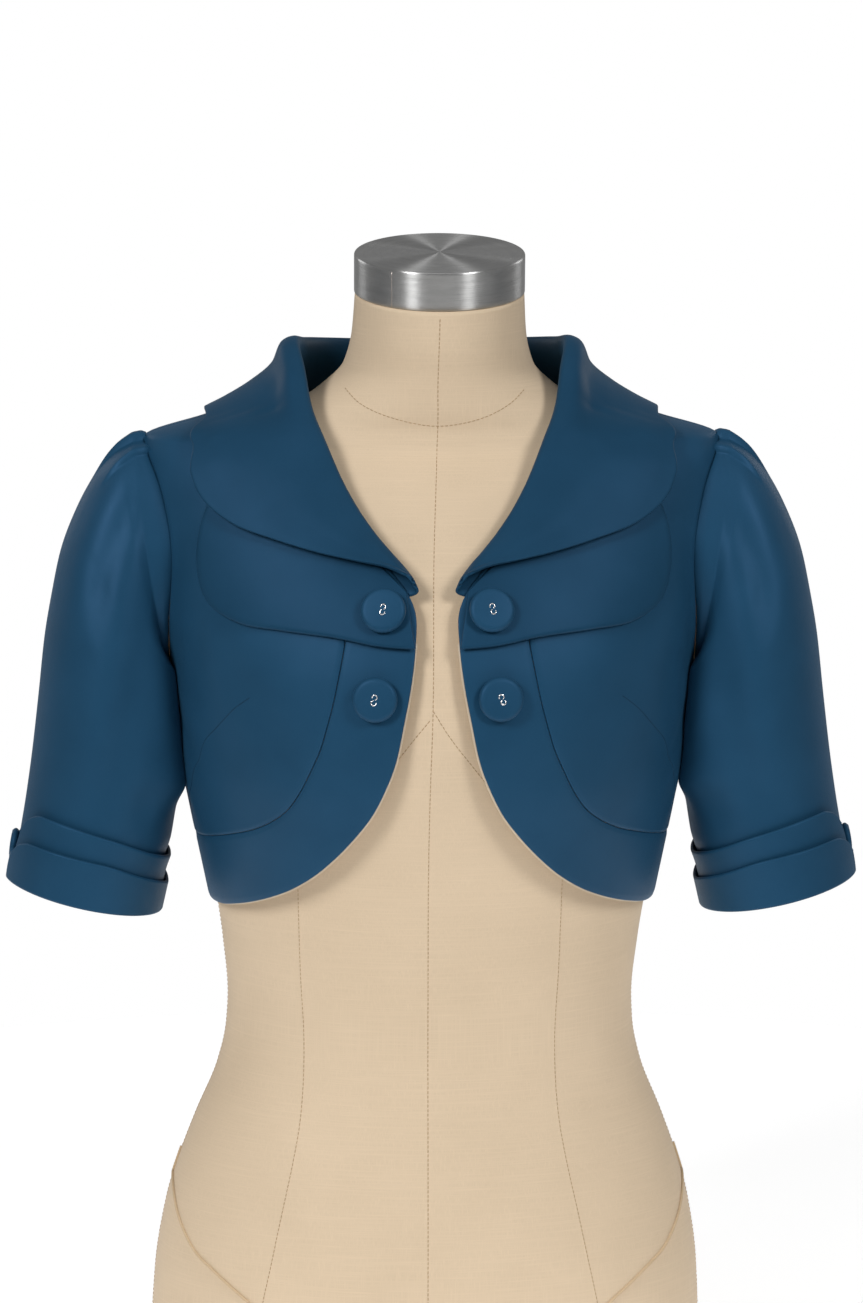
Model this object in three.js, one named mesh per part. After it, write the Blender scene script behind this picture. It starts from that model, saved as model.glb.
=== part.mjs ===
// Cropped jacket with a shawl collar, worn by a limbless dress form.
// Millimetres, +Z up, the front faces -Y, the wearer's left is +X.
// The origin is the middle of the dress form's flat underside.
import * as THREE from 'three';
import { mergeVertices } from 'three/addons/utils/BufferGeometryUtils.js';

// Cloth and seams
const SEAM_GAP = 0.3;
const PANEL_WALL = 1.4;
const FACED_WALL = 2.0;
const LINING_WALL = 1.0;
const LINING_SHOWS = 0.8;
const LINING_WIDTH = 14;
const LINING_BEHIND = 1.2;

// Heights of the garment's main lines
const HEM_SIDE = 348.5;
const HEM_BACK = 346;
const BAND_TOP_SIDE = 391;
const BAND_TOP_BACK = 388;
const UNDERARM = 497;
const SHOULDER_TIP = 644;
const NECK_POINT = 674.5;
const NECK_BACK = 664;

// How far the armhole bites into the front and the back, in degrees round the body
const ARMHOLE_FRONT = 25.5;
const ARMHOLE_BACK = 27;

// Clearances above (+) and below (-) the panels' outer face
const COLLAR_LEG = -2.75;
const COLLAR_NEAR = 5.2;
const LAPEL_NEAR = 2.5;
const LAPEL_EDGE = 4.6;

// Collar's fold: how far it reaches to each side, and its radius
const ROLL_REACH = 6;
const ROLL_RADIUS = 3.1;

// Buttons: covered domes on the front, smaller ones on the cuffs
const FRONT_BUTTON = { radius: 14, height: 6.5 };
const CUFF_BUTTON = { radius: 9.5, height: 5 };

// Cuffs: two turned-back tiers, open in a notch round the button on the sleeve's outer side.
// Angles in degrees; a tier lifts off the sleeve a little more at its top than at its bottom.
const CUFF_WALL = 2.4;
const CUFF_CORNER = 13;
const NOTCH = { front: 13.5, back: -13 };
const CUFF_TIERS = {
  upper: { bottom: 4, liftBottom: 3.15, liftTop: 3.9, open: 20 },
  lower: { bottom: 0, liftBottom: 6.05, liftTop: 6.9, open: 15 },
};

// Dress form: its neck cap, and how much it leans to its own left
const CAP = { radius: 53.8, height: 24.5, tilt: 9, x: 5, y: -4, topZ: 759.6, rim: 1.5 };
const LEAN = { foot: -5, neck: 5 };
const NECK_TOP = 734.65;

// Body of the jacket: half width, depth in front and depth behind the axis
const JACKET = [
  { z: 330, half: 139.5, front: 112, back: 86 },
  { z: 348, half: 143, front: 115, back: 87.5 },
  { z: 380, half: 149.5, front: 119, back: 91 },
  { z: 410, half: 155.5, front: 124, back: 96 },
  { z: 440, half: 161, front: 129, back: 101 },
  { z: 470, half: 163.8, front: 131, back: 105 },
  { z: 500, half: 167.3, front: 129, back: 109 },
  { z: 540, half: 175.5, front: 118, back: 111 },
  { z: 580, half: 180.5, front: 100, back: 109 },
  { z: 610, half: 184, front: 83, back: 102 },
  { z: 630, half: 185, front: 70, back: 94 },
  { z: 644, half: 182, front: 59, back: 87 },
  { z: 656, half: 147, front: 51, back: 80 },
  { z: 664, half: 122, front: 46, back: 75 },
  { z: 676, half: 97, front: 40, back: 68 },
  { z: 690, half: 86, front: 36, back: 62 },
];

// Dress form: as above, with the middle of each ring and its slope to the front
const FORM = [
  { z: 0, half: 172, front: 98, back: 112, mid: 0, slope: 0 },
  { z: 6, half: 175, front: 100, back: 115, mid: 0, slope: 0 },
  { z: 60, half: 178, front: 102, back: 119, mid: 0, slope: 0 },
  { z: 103, half: 176, front: 102, back: 119, mid: 0, slope: 0 },
  { z: 148, half: 169, front: 99, back: 112, mid: 0, slope: 0 },
  { z: 174, half: 161.5, front: 96, back: 105, mid: 0, slope: 0 },
  { z: 204, half: 150.5, front: 92, back: 96, mid: 0, slope: 0 },
  { z: 239, half: 136.3, front: 87, back: 86, mid: 0, slope: 0 },
  { z: 264, half: 131, front: 85, back: 81, mid: 0, slope: 0 },
  { z: 283, half: 130, front: 85, back: 79, mid: 0, slope: 0 },
  { z: 321, half: 133.5, front: 89.5, back: 79.5, mid: 0, slope: 0 },
  { z: 345, half: 137, front: 94, back: 81, mid: 0, slope: 0 },
  { z: 380, half: 143, front: 102, back: 85, mid: 0, slope: 0 },
  { z: 440, half: 153.5, front: 117, back: 94, mid: 0, slope: 0 },
  { z: 470, half: 156.5, front: 121, back: 98, mid: 0, slope: 0 },
  { z: 500, half: 159.5, front: 119, back: 101.5, mid: 0, slope: 0 },
  { z: 540, half: 164, front: 107, back: 103, mid: 0, slope: 0 },
  { z: 580, half: 166, front: 88, back: 100, mid: 0, slope: 0 },
  { z: 610, half: 166, front: 71, back: 92, mid: 0, slope: 0 },
  { z: 630, half: 162, front: 57, back: 82, mid: 1, slope: 0 },
  { z: 642, half: 144, front: 49, back: 75, mid: 2, slope: 0 },
  { z: 652, half: 118, front: 48, back: 68, mid: 3, slope: 0.02 },
  { z: 662, half: 95, front: 50, back: 60, mid: 4, slope: 0.04 },
  { z: 674, half: 76, front: 51, back: 56, mid: 4, slope: 0.06 },
  { z: 690, half: 60, front: 52, back: 55, mid: 3, slope: 0.08 },
  { z: 710, half: 55, front: 53, back: 54, mid: 0, slope: 0.13 },
  { z: NECK_TOP, half: 53.3, front: 53.3, back: 53.3, mid: -3, slope: 0.158 },
];

// Front edge and hem of the left front, from the side seam up to the collar's break
const FRONT_EDGE = [
  { x: 143.2, z: 348.5 },
  { x: 135, z: 350 },
  { x: 126, z: 353.5 },
  { x: 115, z: 358 },
  { x: 103, z: 363.5 },
  { x: 91, z: 370 },
  { x: 76.5, z: 380.5 },
  { x: 62.5, z: 394 },
  { x: 50.5, z: 408 },
  { x: 40.5, z: 422 },
  { x: 32, z: 439.5 },
  { x: 26, z: 456 },
  { x: 20.5, z: 482 },
  { x: 16, z: 506 },
  { x: 13.2, z: 530 },
  { x: 13, z: 547 },
  { x: 17, z: 558 },
  { x: 27, z: 571 },
  { x: 40, z: 585 },
  { x: 50, z: 598 },
];

// Seam between the band and the front panel, over the same stretch, then the panel's neck edge
const BAND_SEAM = [
  { x: 151.7, z: 391 },
  { x: 146, z: 393.5 },
  { x: 138, z: 397 },
  { x: 127, z: 401.5 },
  { x: 114, z: 407 },
  { x: 102.5, z: 414 },
  { x: 93, z: 422.5 },
  { x: 85, z: 435 },
  { x: 77.5, z: 451 },
  { x: 72.5, z: 463 },
  { x: 69, z: 475 },
  { x: 64.5, z: 492 },
  { x: 60.5, z: 511 },
  { x: 57, z: 529 },
  { x: 55, z: 545 },
  { x: 54, z: 560 },
  { x: 53.5, z: 573 },
  { x: 54, z: 586 },
  { x: 55, z: 595 },
  { x: 56, z: 602 },
];
const NECK_EDGE = [
  { x: 65.5, z: 620.5 },
  { x: 79, z: 641.5 },
  { x: 91, z: 656 },
  { x: 97.5, z: 667 },
  { x: 99.7, z: 674.4 },
];

// Half of the collar, from the middle of the back round to the break on the front:
// its neck seam and its outer edge as a turn in degrees from the front and a height, its roll
// line as x, y and z, the edge's lift off the body and how far the fall bows out above it
const COLLAR = [
  { neck: 180, neckZ: 664, x: 0, y: 79, z: 694, edge: 180, edgeZ: 618, lift: 7, arch: 0 },
  { neck: 164.5, neckZ: 665, x: 31, y: 75, z: 695.5, edge: 165.5, edgeZ: 620, lift: 7, arch: 0 },
  { neck: 146, neckZ: 668, x: 59, y: 58, z: 698, edge: 150, edgeZ: 631, lift: 6.2, arch: -2 },
  { neck: 122, neckZ: 673, x: 79, y: 30, z: 701, edge: 126, edgeZ: 649, lift: 4, arch: -4 },
  { neck: 90, neckZ: 676, x: 86, y: 0, z: 703.5, edge: 96, edgeZ: 657.5, lift: 2.9, arch: -5 },
  { neck: 60, neckZ: 669, x: 82.5, y: -22, z: 690, edge: 68, edgeZ: 654.5, lift: 2.9, arch: -5 },
  { neck: 38, neckZ: 657, x: 77.5, y: -42, z: 666, edge: 54.2, edgeZ: 643, lift: 5, arch: -3 },
  { neck: 26, neckZ: 640, x: 69, y: -58, z: 646, edge: 52.6, edgeZ: 624, lift: 7.4, arch: 1 },
  { neck: 22.3, neckZ: 618, x: 58.5, y: -73, z: 623, edge: 49, edgeZ: 608.5, lift: 7.6, arch: 2.4 },
  { neck: 18.8, neckZ: 601, x: 48.5, y: -84, z: 606, edge: 41.2, edgeZ: 595, lift: 7.6, arch: 2.4 },
  { neck: 15.4, neckZ: 586, x: 38, y: -93, z: 592, edge: 32, edgeZ: 587, lift: 7.6, arch: 2.4 },
  { neck: 12.2, neckZ: 575, x: 28.5, y: -100.5, z: 581.5, edge: 22.8, edgeZ: 580, lift: 7.6, arch: 2.4 },
  { neck: 10, neckZ: 568, x: 21, y: -105, z: 573.5, edge: 15.5, edgeZ: 575.5, lift: 7.6, arch: 2.4 },
  { neck: 8.4, neckZ: 562, x: 15.5, y: -108.5, z: 566, edge: 9.9, edgeZ: 572, lift: 7.6, arch: 2.4 },
  { neck: 7.8, neckZ: 558, x: 13, y: -110.5, z: 560.5, edge: 6.7, edgeZ: 568, lift: 7.6, arch: 2.4 },
];

// Lower lapel: the edge tucked under the collar and the free edge, from outside in to the front
const LAPEL_TUCK = [
  { x: 82, z: 636 },
  { x: 69, z: 611 },
  { x: 57, z: 594 },
  { x: 46, z: 582 },
  { x: 33, z: 573.5 },
  { x: 19.5, z: 560.5 },
];
const LAPEL_FREE = [
  { x: 138, z: 612 },
  { x: 144, z: 594 },
  { x: 145.5, z: 570 },
  { x: 139, z: 548.5 },
  { x: 121, z: 538 },
  { x: 95, z: 535 },
  { x: 62, z: 532 },
  { x: 36, z: 527.5 },
  { x: 14.5, z: 526 },
];

// Left sleeve by its distance above the hem, along the outer side:
// the outermost and innermost points of each section, and its depth in front and behind
const SLEEVE = [
  { up: 0, outX: 267.5, outZ: 363, inX: 178.6, inZ: 341, front: 50, back: 52 },
  { up: 26, outX: 263.5, outZ: 389, inX: 174, inZ: 365, front: 51, back: 53 },
  { up: 50, outX: 259.5, outZ: 412, inX: 166.6, inZ: 388, front: 52.5, back: 54.5 },
  { up: 80, outX: 255, outZ: 442, inX: 163.4, inZ: 410, front: 54, back: 57 },
  { up: 118, outX: 250.3, outZ: 480, inX: 160.6, inZ: 425, front: 55.5, back: 59 },
  { up: 156, outX: 246, outZ: 517, inX: 161.8, inZ: 437, front: 56, back: 60 },
  { up: 184, outX: 241, outZ: 545, inX: 163.2, inZ: 449, front: 56, back: 60 },
  { up: 212, outX: 235, outZ: 572, inX: 164.3, inZ: 460, front: 55, back: 59 },
  { up: 242, outX: 224, outZ: 600, inX: 165.4, inZ: 470, front: 53, back: 57 },
  { up: 266, outX: 212, outZ: 621, inX: 166.6, inZ: 479, front: 50, back: 54 },
  { up: 286, outX: 199, outZ: 636, inX: 167.6, inZ: 486, front: 46, back: 51 },
  { up: 300, outX: 188, outZ: 643, inX: 168.4, inZ: 492, front: 41, back: 48 },
];
const SLEEVE_TOP = 308;

// How the sleeve's inner side lies against the body: how far it is pressed in, where round the
// sleeve in degrees and over what width, between which heights, and how clear it stays
const PRESS = { depth: 9, at: 145, width: 22, from: 50, full: 110, fade: 235, to: 285, clear: 1.2 };

// Gap between the sleeve's head and the armhole
const HEAD_GAP = 0.5;

// Tucks at the sleeve head: place round the sleeve in degrees, width, rise and length
const TUCKS = [
  { at: 9, width: 13, rise: 3.2, length: 34 },
  { at: 27, width: 14, rise: 2.8, length: 28 },
  { at: -11, width: 13, rise: 3.0, length: 32 },
  { at: -30, width: 14, rise: 2.6, length: 27 },
];

// Height of each cuff tier's top edge above the hem, by the place round the sleeve
const CUFF_TOPS = [
  { turn: 0, upper: 47, lower: 26 },
  { turn: 45, upper: 48, lower: 29 },
  { turn: 90, upper: 46, lower: 30 },
  { turn: 135, upper: 40, lower: 24 },
  { turn: 180, upper: 36, lower: 18 },
];

const surface = (color, roughness, metalness = 0) => (
  new THREE.MeshStandardMaterial({ color, roughness, metalness })
);
const CLOTH_MATERIAL = surface(0x27506f, 0.62);
const LINING_MATERIAL = surface(0xd9c9ae, 0.7);
const LINEN_MATERIAL = surface(0xd3bfa3, 0.9);
const STEEL_MATERIAL = surface(0x9a9a9a, 0.35, 1);

const RIGHT_ANGLE = Math.PI / 2;
const { degToRad: radians, radToDeg, lerp, clamp, euclideanModulo } = THREE.MathUtils;
const vector = (x, y, z) => new THREE.Vector3(x, y, z);

// Evenly spaced shares from 0 to 1
const steps = (count) => Array.from({ length: count }, (_, k) => k / (count - 1));

// Reads one column of a table smoothly, without overshooting between its rows
function read(table, along, column, at) {
  const last = table.length - 1;
  let row = 0;
  while (row < last - 1 && table[row + 1][along] <= at) row += 1;
  const step = (k) => table[k + 1][along] - table[k][along];
  const rise = (k) => (table[k + 1][column] - table[k][column]) / step(k);
  const slope = (k) => {
    if (k <= 0) return rise(0);
    if (k >= last) return rise(last - 1);
    const before = rise(k - 1);
    const after = rise(k);
    return before * after <= 0 ? 0 : (2 * before * after) / (before + after);
  };
  const t = clamp((at - table[row][along]) / step(row), 0, 1);
  const t2 = t * t;
  const t3 = t2 * t;
  return (2 * t3 - 3 * t2 + 1) * table[row][column]
    + (t3 - 2 * t2 + t) * slope(row) * step(row)
    + (3 * t2 - 2 * t3) * table[row + 1][column]
    + (t3 - t2) * slope(row + 1) * step(row);
}

// A smooth line through the named columns of a short table, read by share of its rows
function lineThrough(table, columns) {
  const points = table.map((row) => vector(...columns.map((name) => row[name] ?? 0)));
  const curve = new THREE.CatmullRomCurve3(points, false, 'centripetal');
  return (share) => curve.getPoint(clamp(share, 0, 1));
}

// Outward direction of the jacket's body at an angle round it (0 is the front) and a height
function jacketNormal(angle, z) {
  const delta = 0.5;
  const s = Math.sin(angle);
  const c = Math.cos(angle);
  const value = (column, height = z) => read(JACKET, 'z', column, height);
  const rate = (column) => (value(column, z + delta) - value(column, z - delta)) / (2 * delta);
  const depth = c >= 0 ? 'front' : 'back';
  const half = value('half');
  const deep = value(depth);
  return vector(
    deep * s,
    -half * c,
    -half * rate(depth) * c * c - deep * rate('half') * s * s,
  ).normalize();
}

// Point on the jacket's body, moved out by lift
function onJacket(angle, z, lift = 0) {
  const depth = Math.cos(angle) >= 0 ? 'front' : 'back';
  const point = vector(
    read(JACKET, 'z', 'half', z) * Math.sin(angle),
    -read(JACKET, 'z', depth, z) * Math.cos(angle),
    z,
  );
  return lift === 0 ? point : point.addScaledVector(jacketNormal(angle, z), lift);
}

// Angle round the front of the body at a sideways distance and a height
const angleAt = (x, z) => Math.asin(clamp(x / read(JACKET, 'z', 'half', z), -1, 1));

// Raises a point until it is at least lift outside the jacket's body
function raised(point, lift) {
  const front = point.y < 0;
  const half = read(JACKET, 'z', 'half', point.z);
  const deep = read(JACKET, 'z', front ? 'front' : 'back', point.z);
  const angle = Math.atan2(point.x / half, -point.y / deep);
  const normal = jacketNormal(angle, point.z);
  const height = point.clone().sub(onJacket(angle, point.z)).dot(normal);
  return height < lift ? point.clone().addScaledVector(normal, lift - height) : point;
}

// A closed wall of even thickness behind a grid of points, open or closed into a ring.
// Rows run along the first index, and (next column) x (next row) points outwards.
// The inner face follows the given normals, or else those of the grid itself.
function wall(grid, thickness, { ring = false, normals = null } = {}) {
  const rows = grid.length;
  const columns = grid[0].length;
  const lastRow = rows - 1;
  const lastColumn = columns - 1;
  const column = (i) => (ring ? (i + columns) % columns : clamp(i, 0, lastColumn));
  const positions = [];
  const inner = [];
  for (let j = 0; j < rows; j += 1) {
    for (let i = 0; i < columns; i += 1) {
      const across = grid[j][column(i + 1)].clone().sub(grid[j][column(i - 1)]);
      const along = grid[Math.min(j + 1, lastRow)][i].clone().sub(grid[Math.max(j - 1, 0)][i]);
      const normal = normals ? normals[j][i] : across.cross(along).normalize();
      positions.push(...grid[j][i].toArray());
      inner.push(...grid[j][i].clone().addScaledVector(normal, -thickness).toArray());
    }
  }
  positions.push(...inner);
  const index = [];
  const outerAt = (j, i) => j * columns + column(i);
  const innerAt = (j, i) => rows * columns + j * columns + column(i);
  const quad = (a, b, c, d) => index.push(a, b, c, a, c, d);
  const spans = ring ? columns : lastColumn;
  for (let j = 0; j < lastRow; j += 1) {
    for (let i = 0; i < spans; i += 1) {
      quad(outerAt(j, i), outerAt(j, i + 1), outerAt(j + 1, i + 1), outerAt(j + 1, i));
      quad(innerAt(j, i), innerAt(j + 1, i), innerAt(j + 1, i + 1), innerAt(j, i + 1));
    }
  }
  for (let i = 0; i < spans; i += 1) {
    quad(outerAt(0, i), innerAt(0, i), innerAt(0, i + 1), outerAt(0, i + 1));
    quad(outerAt(lastRow, i), outerAt(lastRow, i + 1), innerAt(lastRow, i + 1), innerAt(lastRow, i));
  }
  if (!ring) {
    for (let j = 0; j < lastRow; j += 1) {
      quad(outerAt(j, 0), outerAt(j + 1, 0), innerAt(j + 1, 0), innerAt(j, 0));
      quad(
        outerAt(j, lastColumn), innerAt(j, lastColumn),
        innerAt(j + 1, lastColumn), outerAt(j + 1, lastColumn),
      );
    }
  }
  return solid(positions, index);
}

function solid(positions, index) {
  const geometry = new THREE.BufferGeometry();
  geometry.setAttribute('position', new THREE.Float32BufferAttribute(positions, 3));
  geometry.setIndex(index);
  return geometry;
}

// The same piece for the wearer's other side
function mirrored(geometry) {
  const copy = geometry.clone();
  copy.scale(-1, 1, 1);
  const index = copy.getIndex().array;
  for (let k = 0; k < index.length; k += 3) {
    [index[k + 1], index[k + 2]] = [index[k + 2], index[k + 1]];
  }
  return copy;
}

// A wall on the body between two rows of {angle, z}, kept clear of both by margin
const onSurface = () => 0;
function bodyWall(starts, ends, columns, thickness, { liftAt = onSurface, margin = SEAM_GAP / 2 } = {}) {
  const grid = [];
  const normals = [];
  starts.forEach((start, j) => {
    const end = ends[j];
    const length = onJacket(start.angle, start.z).distanceTo(onJacket(end.angle, end.z));
    const trim = Math.min(margin / length, 0.3);
    const places = steps(columns).map((share) => {
      const u = lerp(trim, 1 - trim, share);
      return { u, angle: lerp(start.angle, end.angle, u), z: lerp(start.z, end.z, u) };
    });
    grid.push(places.map(({ u, angle, z }) => onJacket(angle, z, liftAt(u))));
    normals.push(places.map(({ angle, z }) => jacketNormal(angle, z)));
  });
  return wall(grid, thickness, { normals });
}

// The armhole's edge on the left of the body; turn 0 is the shoulder tip, 90 the front
function armhole(turn) {
  const z = lerp(UNDERARM, SHOULDER_TIP, (1 + Math.cos(turn)) / 2);
  const bite = Math.sin(turn) >= 0
    ? -radians(ARMHOLE_FRONT) * Math.sin(turn) * (0.9 + 0.28 * Math.cos(turn))
    : -radians(ARMHOLE_BACK) * Math.sin(turn) * (0.95 + 0.1 * Math.cos(turn));
  return { angle: RIGHT_ANGLE + bite, z };
}

// How many sections each piece has along and across its seams
const SEAM_ROWS = 21;
const NECK_ROWS = 6;
const LINING_ROWS = 21;
const PANEL_COLUMNS = 8;
const BAND_COLUMNS = 5;
const BACK_ROWS = 22;
const BACK_COLUMNS = 16;
const HEM_COLUMNS = 19;
const HEM_ROWS = 3;
const COLLAR_SECTIONS = 21;
const LAPEL_SECTIONS = 15;
const LAPEL_COLUMNS = 6;
const CUFF_COLUMNS = 31;
const CUFF_ROWS = 3;

// Half a seam's gap at the side seams, as an angle round the body
const SIDE_GAP = SEAM_GAP / 190;

// The outer boundary of a left panel: side seam, armhole and shoulder seam, from the bottom up.
// The shares of its length where the armhole starts and ends:
const SIDE_SHARE = 0.34;
const ARMHOLE_SHARE = 0.84;
function outerBoundary(v, bottom, top, front) {
  if (v <= SIDE_SHARE) return { angle: RIGHT_ANGLE, z: lerp(bottom, UNDERARM, v / SIDE_SHARE) };
  if (v <= ARMHOLE_SHARE) {
    const share = (v - SIDE_SHARE) / (ARMHOLE_SHARE - SIDE_SHARE);
    return armhole((front ? 1 : -1) * Math.PI * (1 - share));
  }
  return { angle: RIGHT_ANGLE, z: lerp(SHOULDER_TIP, top, (v - ARMHOLE_SHARE) / (1 - ARMHOLE_SHARE)) };
}

// Places {angle, z} on the front along a line of {x, z}
function placesOn(line, count) {
  return steps(count).map((share) => {
    const { x, y: z } = line(share);
    return { angle: Math.min(angleAt(x, z), RIGHT_ANGLE - SEAM_GAP / 2 / x), z };
  });
}

// Front panel: from the band seam and neck edge out to the side seam, armhole and shoulder.
// Its lower corner starts a little way up the side seam.
const PANEL_CORNER = 7;
function frontPanel() {
  const seam = placesOn(lineThrough(BAND_SEAM, ['x', 'z']), SEAM_ROWS);
  const neck = placesOn(lineThrough([BAND_SEAM.at(-1), ...NECK_EDGE], ['x', 'z']), NECK_ROWS + 1);
  const inner = [...seam, ...neck.slice(1)];
  const corner = BAND_TOP_SIDE + PANEL_CORNER;
  const outer = steps(inner.length).map((v) => outerBoundary(v, corner, NECK_POINT, true));
  return bodyWall(inner, outer, PANEL_COLUMNS, PANEL_WALL);
}

// Front band: from the front edge and hem out to its seam
function frontBand() {
  const edge = placesOn(lineThrough(FRONT_EDGE, ['x', 'z']), SEAM_ROWS);
  const seam = placesOn(lineThrough(BAND_SEAM, ['x', 'z']), SEAM_ROWS);
  return bodyWall(edge, seam, BAND_COLUMNS, PANEL_WALL);
}

// Lining: the strip that shows behind the front edge
function liningStrip() {
  const edge = lineThrough(FRONT_EDGE.slice(0, -5), ['x', 'z']);
  const delta = 0.01;
  const shifted = (distance) => (share) => {
    const here = edge(share);
    const along = edge(share + delta).sub(edge(share - delta)).normalize();
    return vector(here.x + along.y * distance, here.y - along.x * distance, 0);
  };
  const liftAt = () => -PANEL_WALL - LINING_BEHIND;
  const outside = placesOn(shifted(-LINING_SHOWS), LINING_ROWS);
  const inside = placesOn(shifted(LINING_WIDTH), LINING_ROWS);
  return bodyWall(outside, inside, 2, LINING_WALL, { liftAt, margin: 0 });
}

// Hem band across the back
function backBand() {
  const level = (side, middle) => steps(HEM_COLUMNS).map((share) => ({
    angle: lerp(3 * RIGHT_ANGLE - SIDE_GAP, RIGHT_ANGLE + SIDE_GAP, share),
    z: lerp(middle, side, (2 * share - 1) ** 2),
  }));
  const hem = level(HEM_SIDE, HEM_BACK);
  const top = level(BAND_TOP_SIDE, BAND_TOP_BACK);
  return bodyWall(hem, top, HEM_ROWS, PANEL_WALL);
}

// Back: from one side seam, armhole and shoulder across to the other
function backPanel() {
  const grid = [];
  const normals = [];
  for (const v of steps(BACK_ROWS)) {
    const edge = outerBoundary(v, BAND_TOP_SIDE + SEAM_GAP, NECK_POINT, false);
    const sagBottom = (BAND_TOP_BACK - BAND_TOP_SIDE) * Math.max(0, 1 - v / SIDE_SHARE);
    const sagTop = (NECK_BACK - NECK_POINT) * Math.max(0, (v - ARMHOLE_SHARE) / (1 - ARMHOLE_SHARE));
    const half = Math.PI - edge.angle - SIDE_GAP;
    const places = steps(BACK_COLUMNS).map((share) => {
      const u = 2 * share - 1;
      return { angle: Math.PI + u * half, z: edge.z + (sagBottom + sagTop) * (1 - u * u) };
    });
    grid.push(places.map(({ angle, z }) => onJacket(angle, z)));
    normals.push(places.map(({ angle, z }) => jacketNormal(angle, z)));
  }
  return wall(grid, PANEL_WALL, { normals });
}

// Cross-section of the collar from its neck seam over the roll to its outer edge
function collarSection(seam, roll, edge, { lift, arch }, places) {
  const toSeam = seam.clone().sub(roll);
  const toEdge = edge.clone().sub(roll);
  const reach = Math.min(ROLL_REACH, 0.4 * toSeam.length(), 0.4 * toEdge.length());
  toSeam.normalize();
  toEdge.normalize();
  const spread = toEdge.clone().sub(toSeam).normalize();
  const leg = roll.clone().addScaledVector(toSeam, reach).addScaledVector(spread, -ROLL_RADIUS);
  const turn = roll.clone().addScaledVector(toEdge, reach).addScaledVector(spread, ROLL_RADIUS);
  const fall = [0.3, 0.55, 0.8].map((share) => {
    const bow = arch * Math.sin(Math.PI * share);
    const point = roll.clone().lerp(edge, share).addScaledVector(spread, bow);
    return raised(point, lerp(Math.min(COLLAR_NEAR, lift), lift, share));
  });
  const curve = new THREE.CatmullRomCurve3([seam, leg, roll, turn, ...fall, edge], false, 'centripetal');
  return places.map((place) => curve.getPoint(place));
}

// Collar: one piece round the neck, folded over its roll line, mirrored about the middle
function collar() {
  const places = [0, 0.14, 0.21, 0.285, 0.36, 0.43, 0.54, 0.66, 0.78, 0.89, 1];
  const seams = lineThrough(COLLAR, ['neck', 'neckZ']);
  const rolls = lineThrough(COLLAR, ['x', 'y', 'z']);
  const edges = lineThrough(COLLAR, ['edge', 'edgeZ']);
  const falls = lineThrough(COLLAR, ['lift', 'arch']);
  const half = steps(COLLAR_SECTIONS).map((share) => {
    const seam = seams(share);
    const edge = edges(share);
    const { x: lift, y: arch } = falls(share);
    return collarSection(
      onJacket(radians(seam.x), seam.y, COLLAR_LEG),
      rolls(share),
      onJacket(radians(edge.x), edge.y, lift),
      { lift, arch },
      places,
    );
  });
  const other = half.slice(1).reverse().map((line) => line.map((p) => vector(-p.x, p.y, p.z)));
  return wall([...other, ...half], FACED_WALL);
}

// Lower lapel: lies on the front and band, its inner edge tucked under the collar
function lowerLapel() {
  const free = placesOn(lineThrough(LAPEL_FREE, ['x', 'z']), LAPEL_SECTIONS);
  const tuck = placesOn(lineThrough(LAPEL_TUCK, ['x', 'z']), LAPEL_SECTIONS);
  const liftAt = (u) => lerp(LAPEL_EDGE, LAPEL_NEAR, u);
  return bodyWall(free, tuck, LAPEL_COLUMNS, FACED_WALL, { liftAt, margin: 0 });
}

// Rise of the sleeve-head tucks: a soft ridge that drops sharply on its outer side
const smooth = (share) => share * share * (3 - 2 * share);
const TUCK_DROP = 0.35;
function tuckRise(turn, up) {
  return TUCKS.reduce((sum, { at, width, rise, length }) => {
    const away = euclideanModulo(radToDeg(turn) - at + 180, 360) - 180;
    const share = (away * Math.sign(at)) / width;
    if (share < -1 || share > TUCK_DROP) return sum;
    const shape = share < 0 ? smooth(1 + share) : smooth(1 - share / TUCK_DROP);
    return sum + rise * shape * smooth(Math.max(0, 1 - (SLEEVE_TOP - up) / length));
  }, 0);
}

// Presses a point of the sleeve's inner side in until it lies against the body's front
function pressed(point, turn, up) {
  const { depth, at, width, from, full, fade, to, clear } = PRESS;
  const span = (start, end) => smooth(clamp((up - start) / (end - start), 0, 1));
  const away = euclideanModulo(radToDeg(turn) - at + 180, 360) - 180;
  const push = depth * Math.exp(-((away / width) ** 2)) * span(from, full) * (1 - span(fade, to));
  const forward = clamp(-point.y / read(JACKET, 'z', 'front', point.z), 0, 1);
  const body = read(JACKET, 'z', 'half', point.z) * Math.sqrt(1 - forward * forward);
  return vector(Math.max(point.x - push, Math.min(point.x, body + clear)), point.y, point.z);
}

// Point on the left sleeve's outer face; turn 0 is the outer side, 90 degrees the front
function onSleeve(turn, up) {
  const top = SLEEVE[SLEEVE.length - 1].up;
  const ring = (height) => {
    const value = (column) => read(SLEEVE, 'up', column, height);
    const share = (1 + Math.cos(turn)) / 2;
    const deep = Math.sin(turn) >= 0 ? value('front') : value('back');
    const point = vector(
      lerp(value('inX'), value('outX'), share),
      -deep * Math.sin(turn),
      lerp(value('inZ'), value('outZ'), share),
    );
    return pressed(point, turn, height);
  };
  if (up <= top) return ring(up);
  const hole = armhole(turn);
  const seam = onJacket(hole.angle, hole.z).add(vector(HEAD_GAP, 0, 0));
  return ring(top).lerp(seam, (up - top) / (SLEEVE_TOP - top));
}

function sleevePoint(turn, up, lift = 0) {
  const delta = 0.02;
  const across = onSleeve(turn + delta, up).sub(onSleeve(turn - delta, up));
  const along = onSleeve(turn, up + 1).sub(onSleeve(turn, up - 1));
  const normal = across.cross(along).normalize().negate();
  return onSleeve(turn, up).addScaledVector(normal, lift + tuckRise(turn, up));
}

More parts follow.
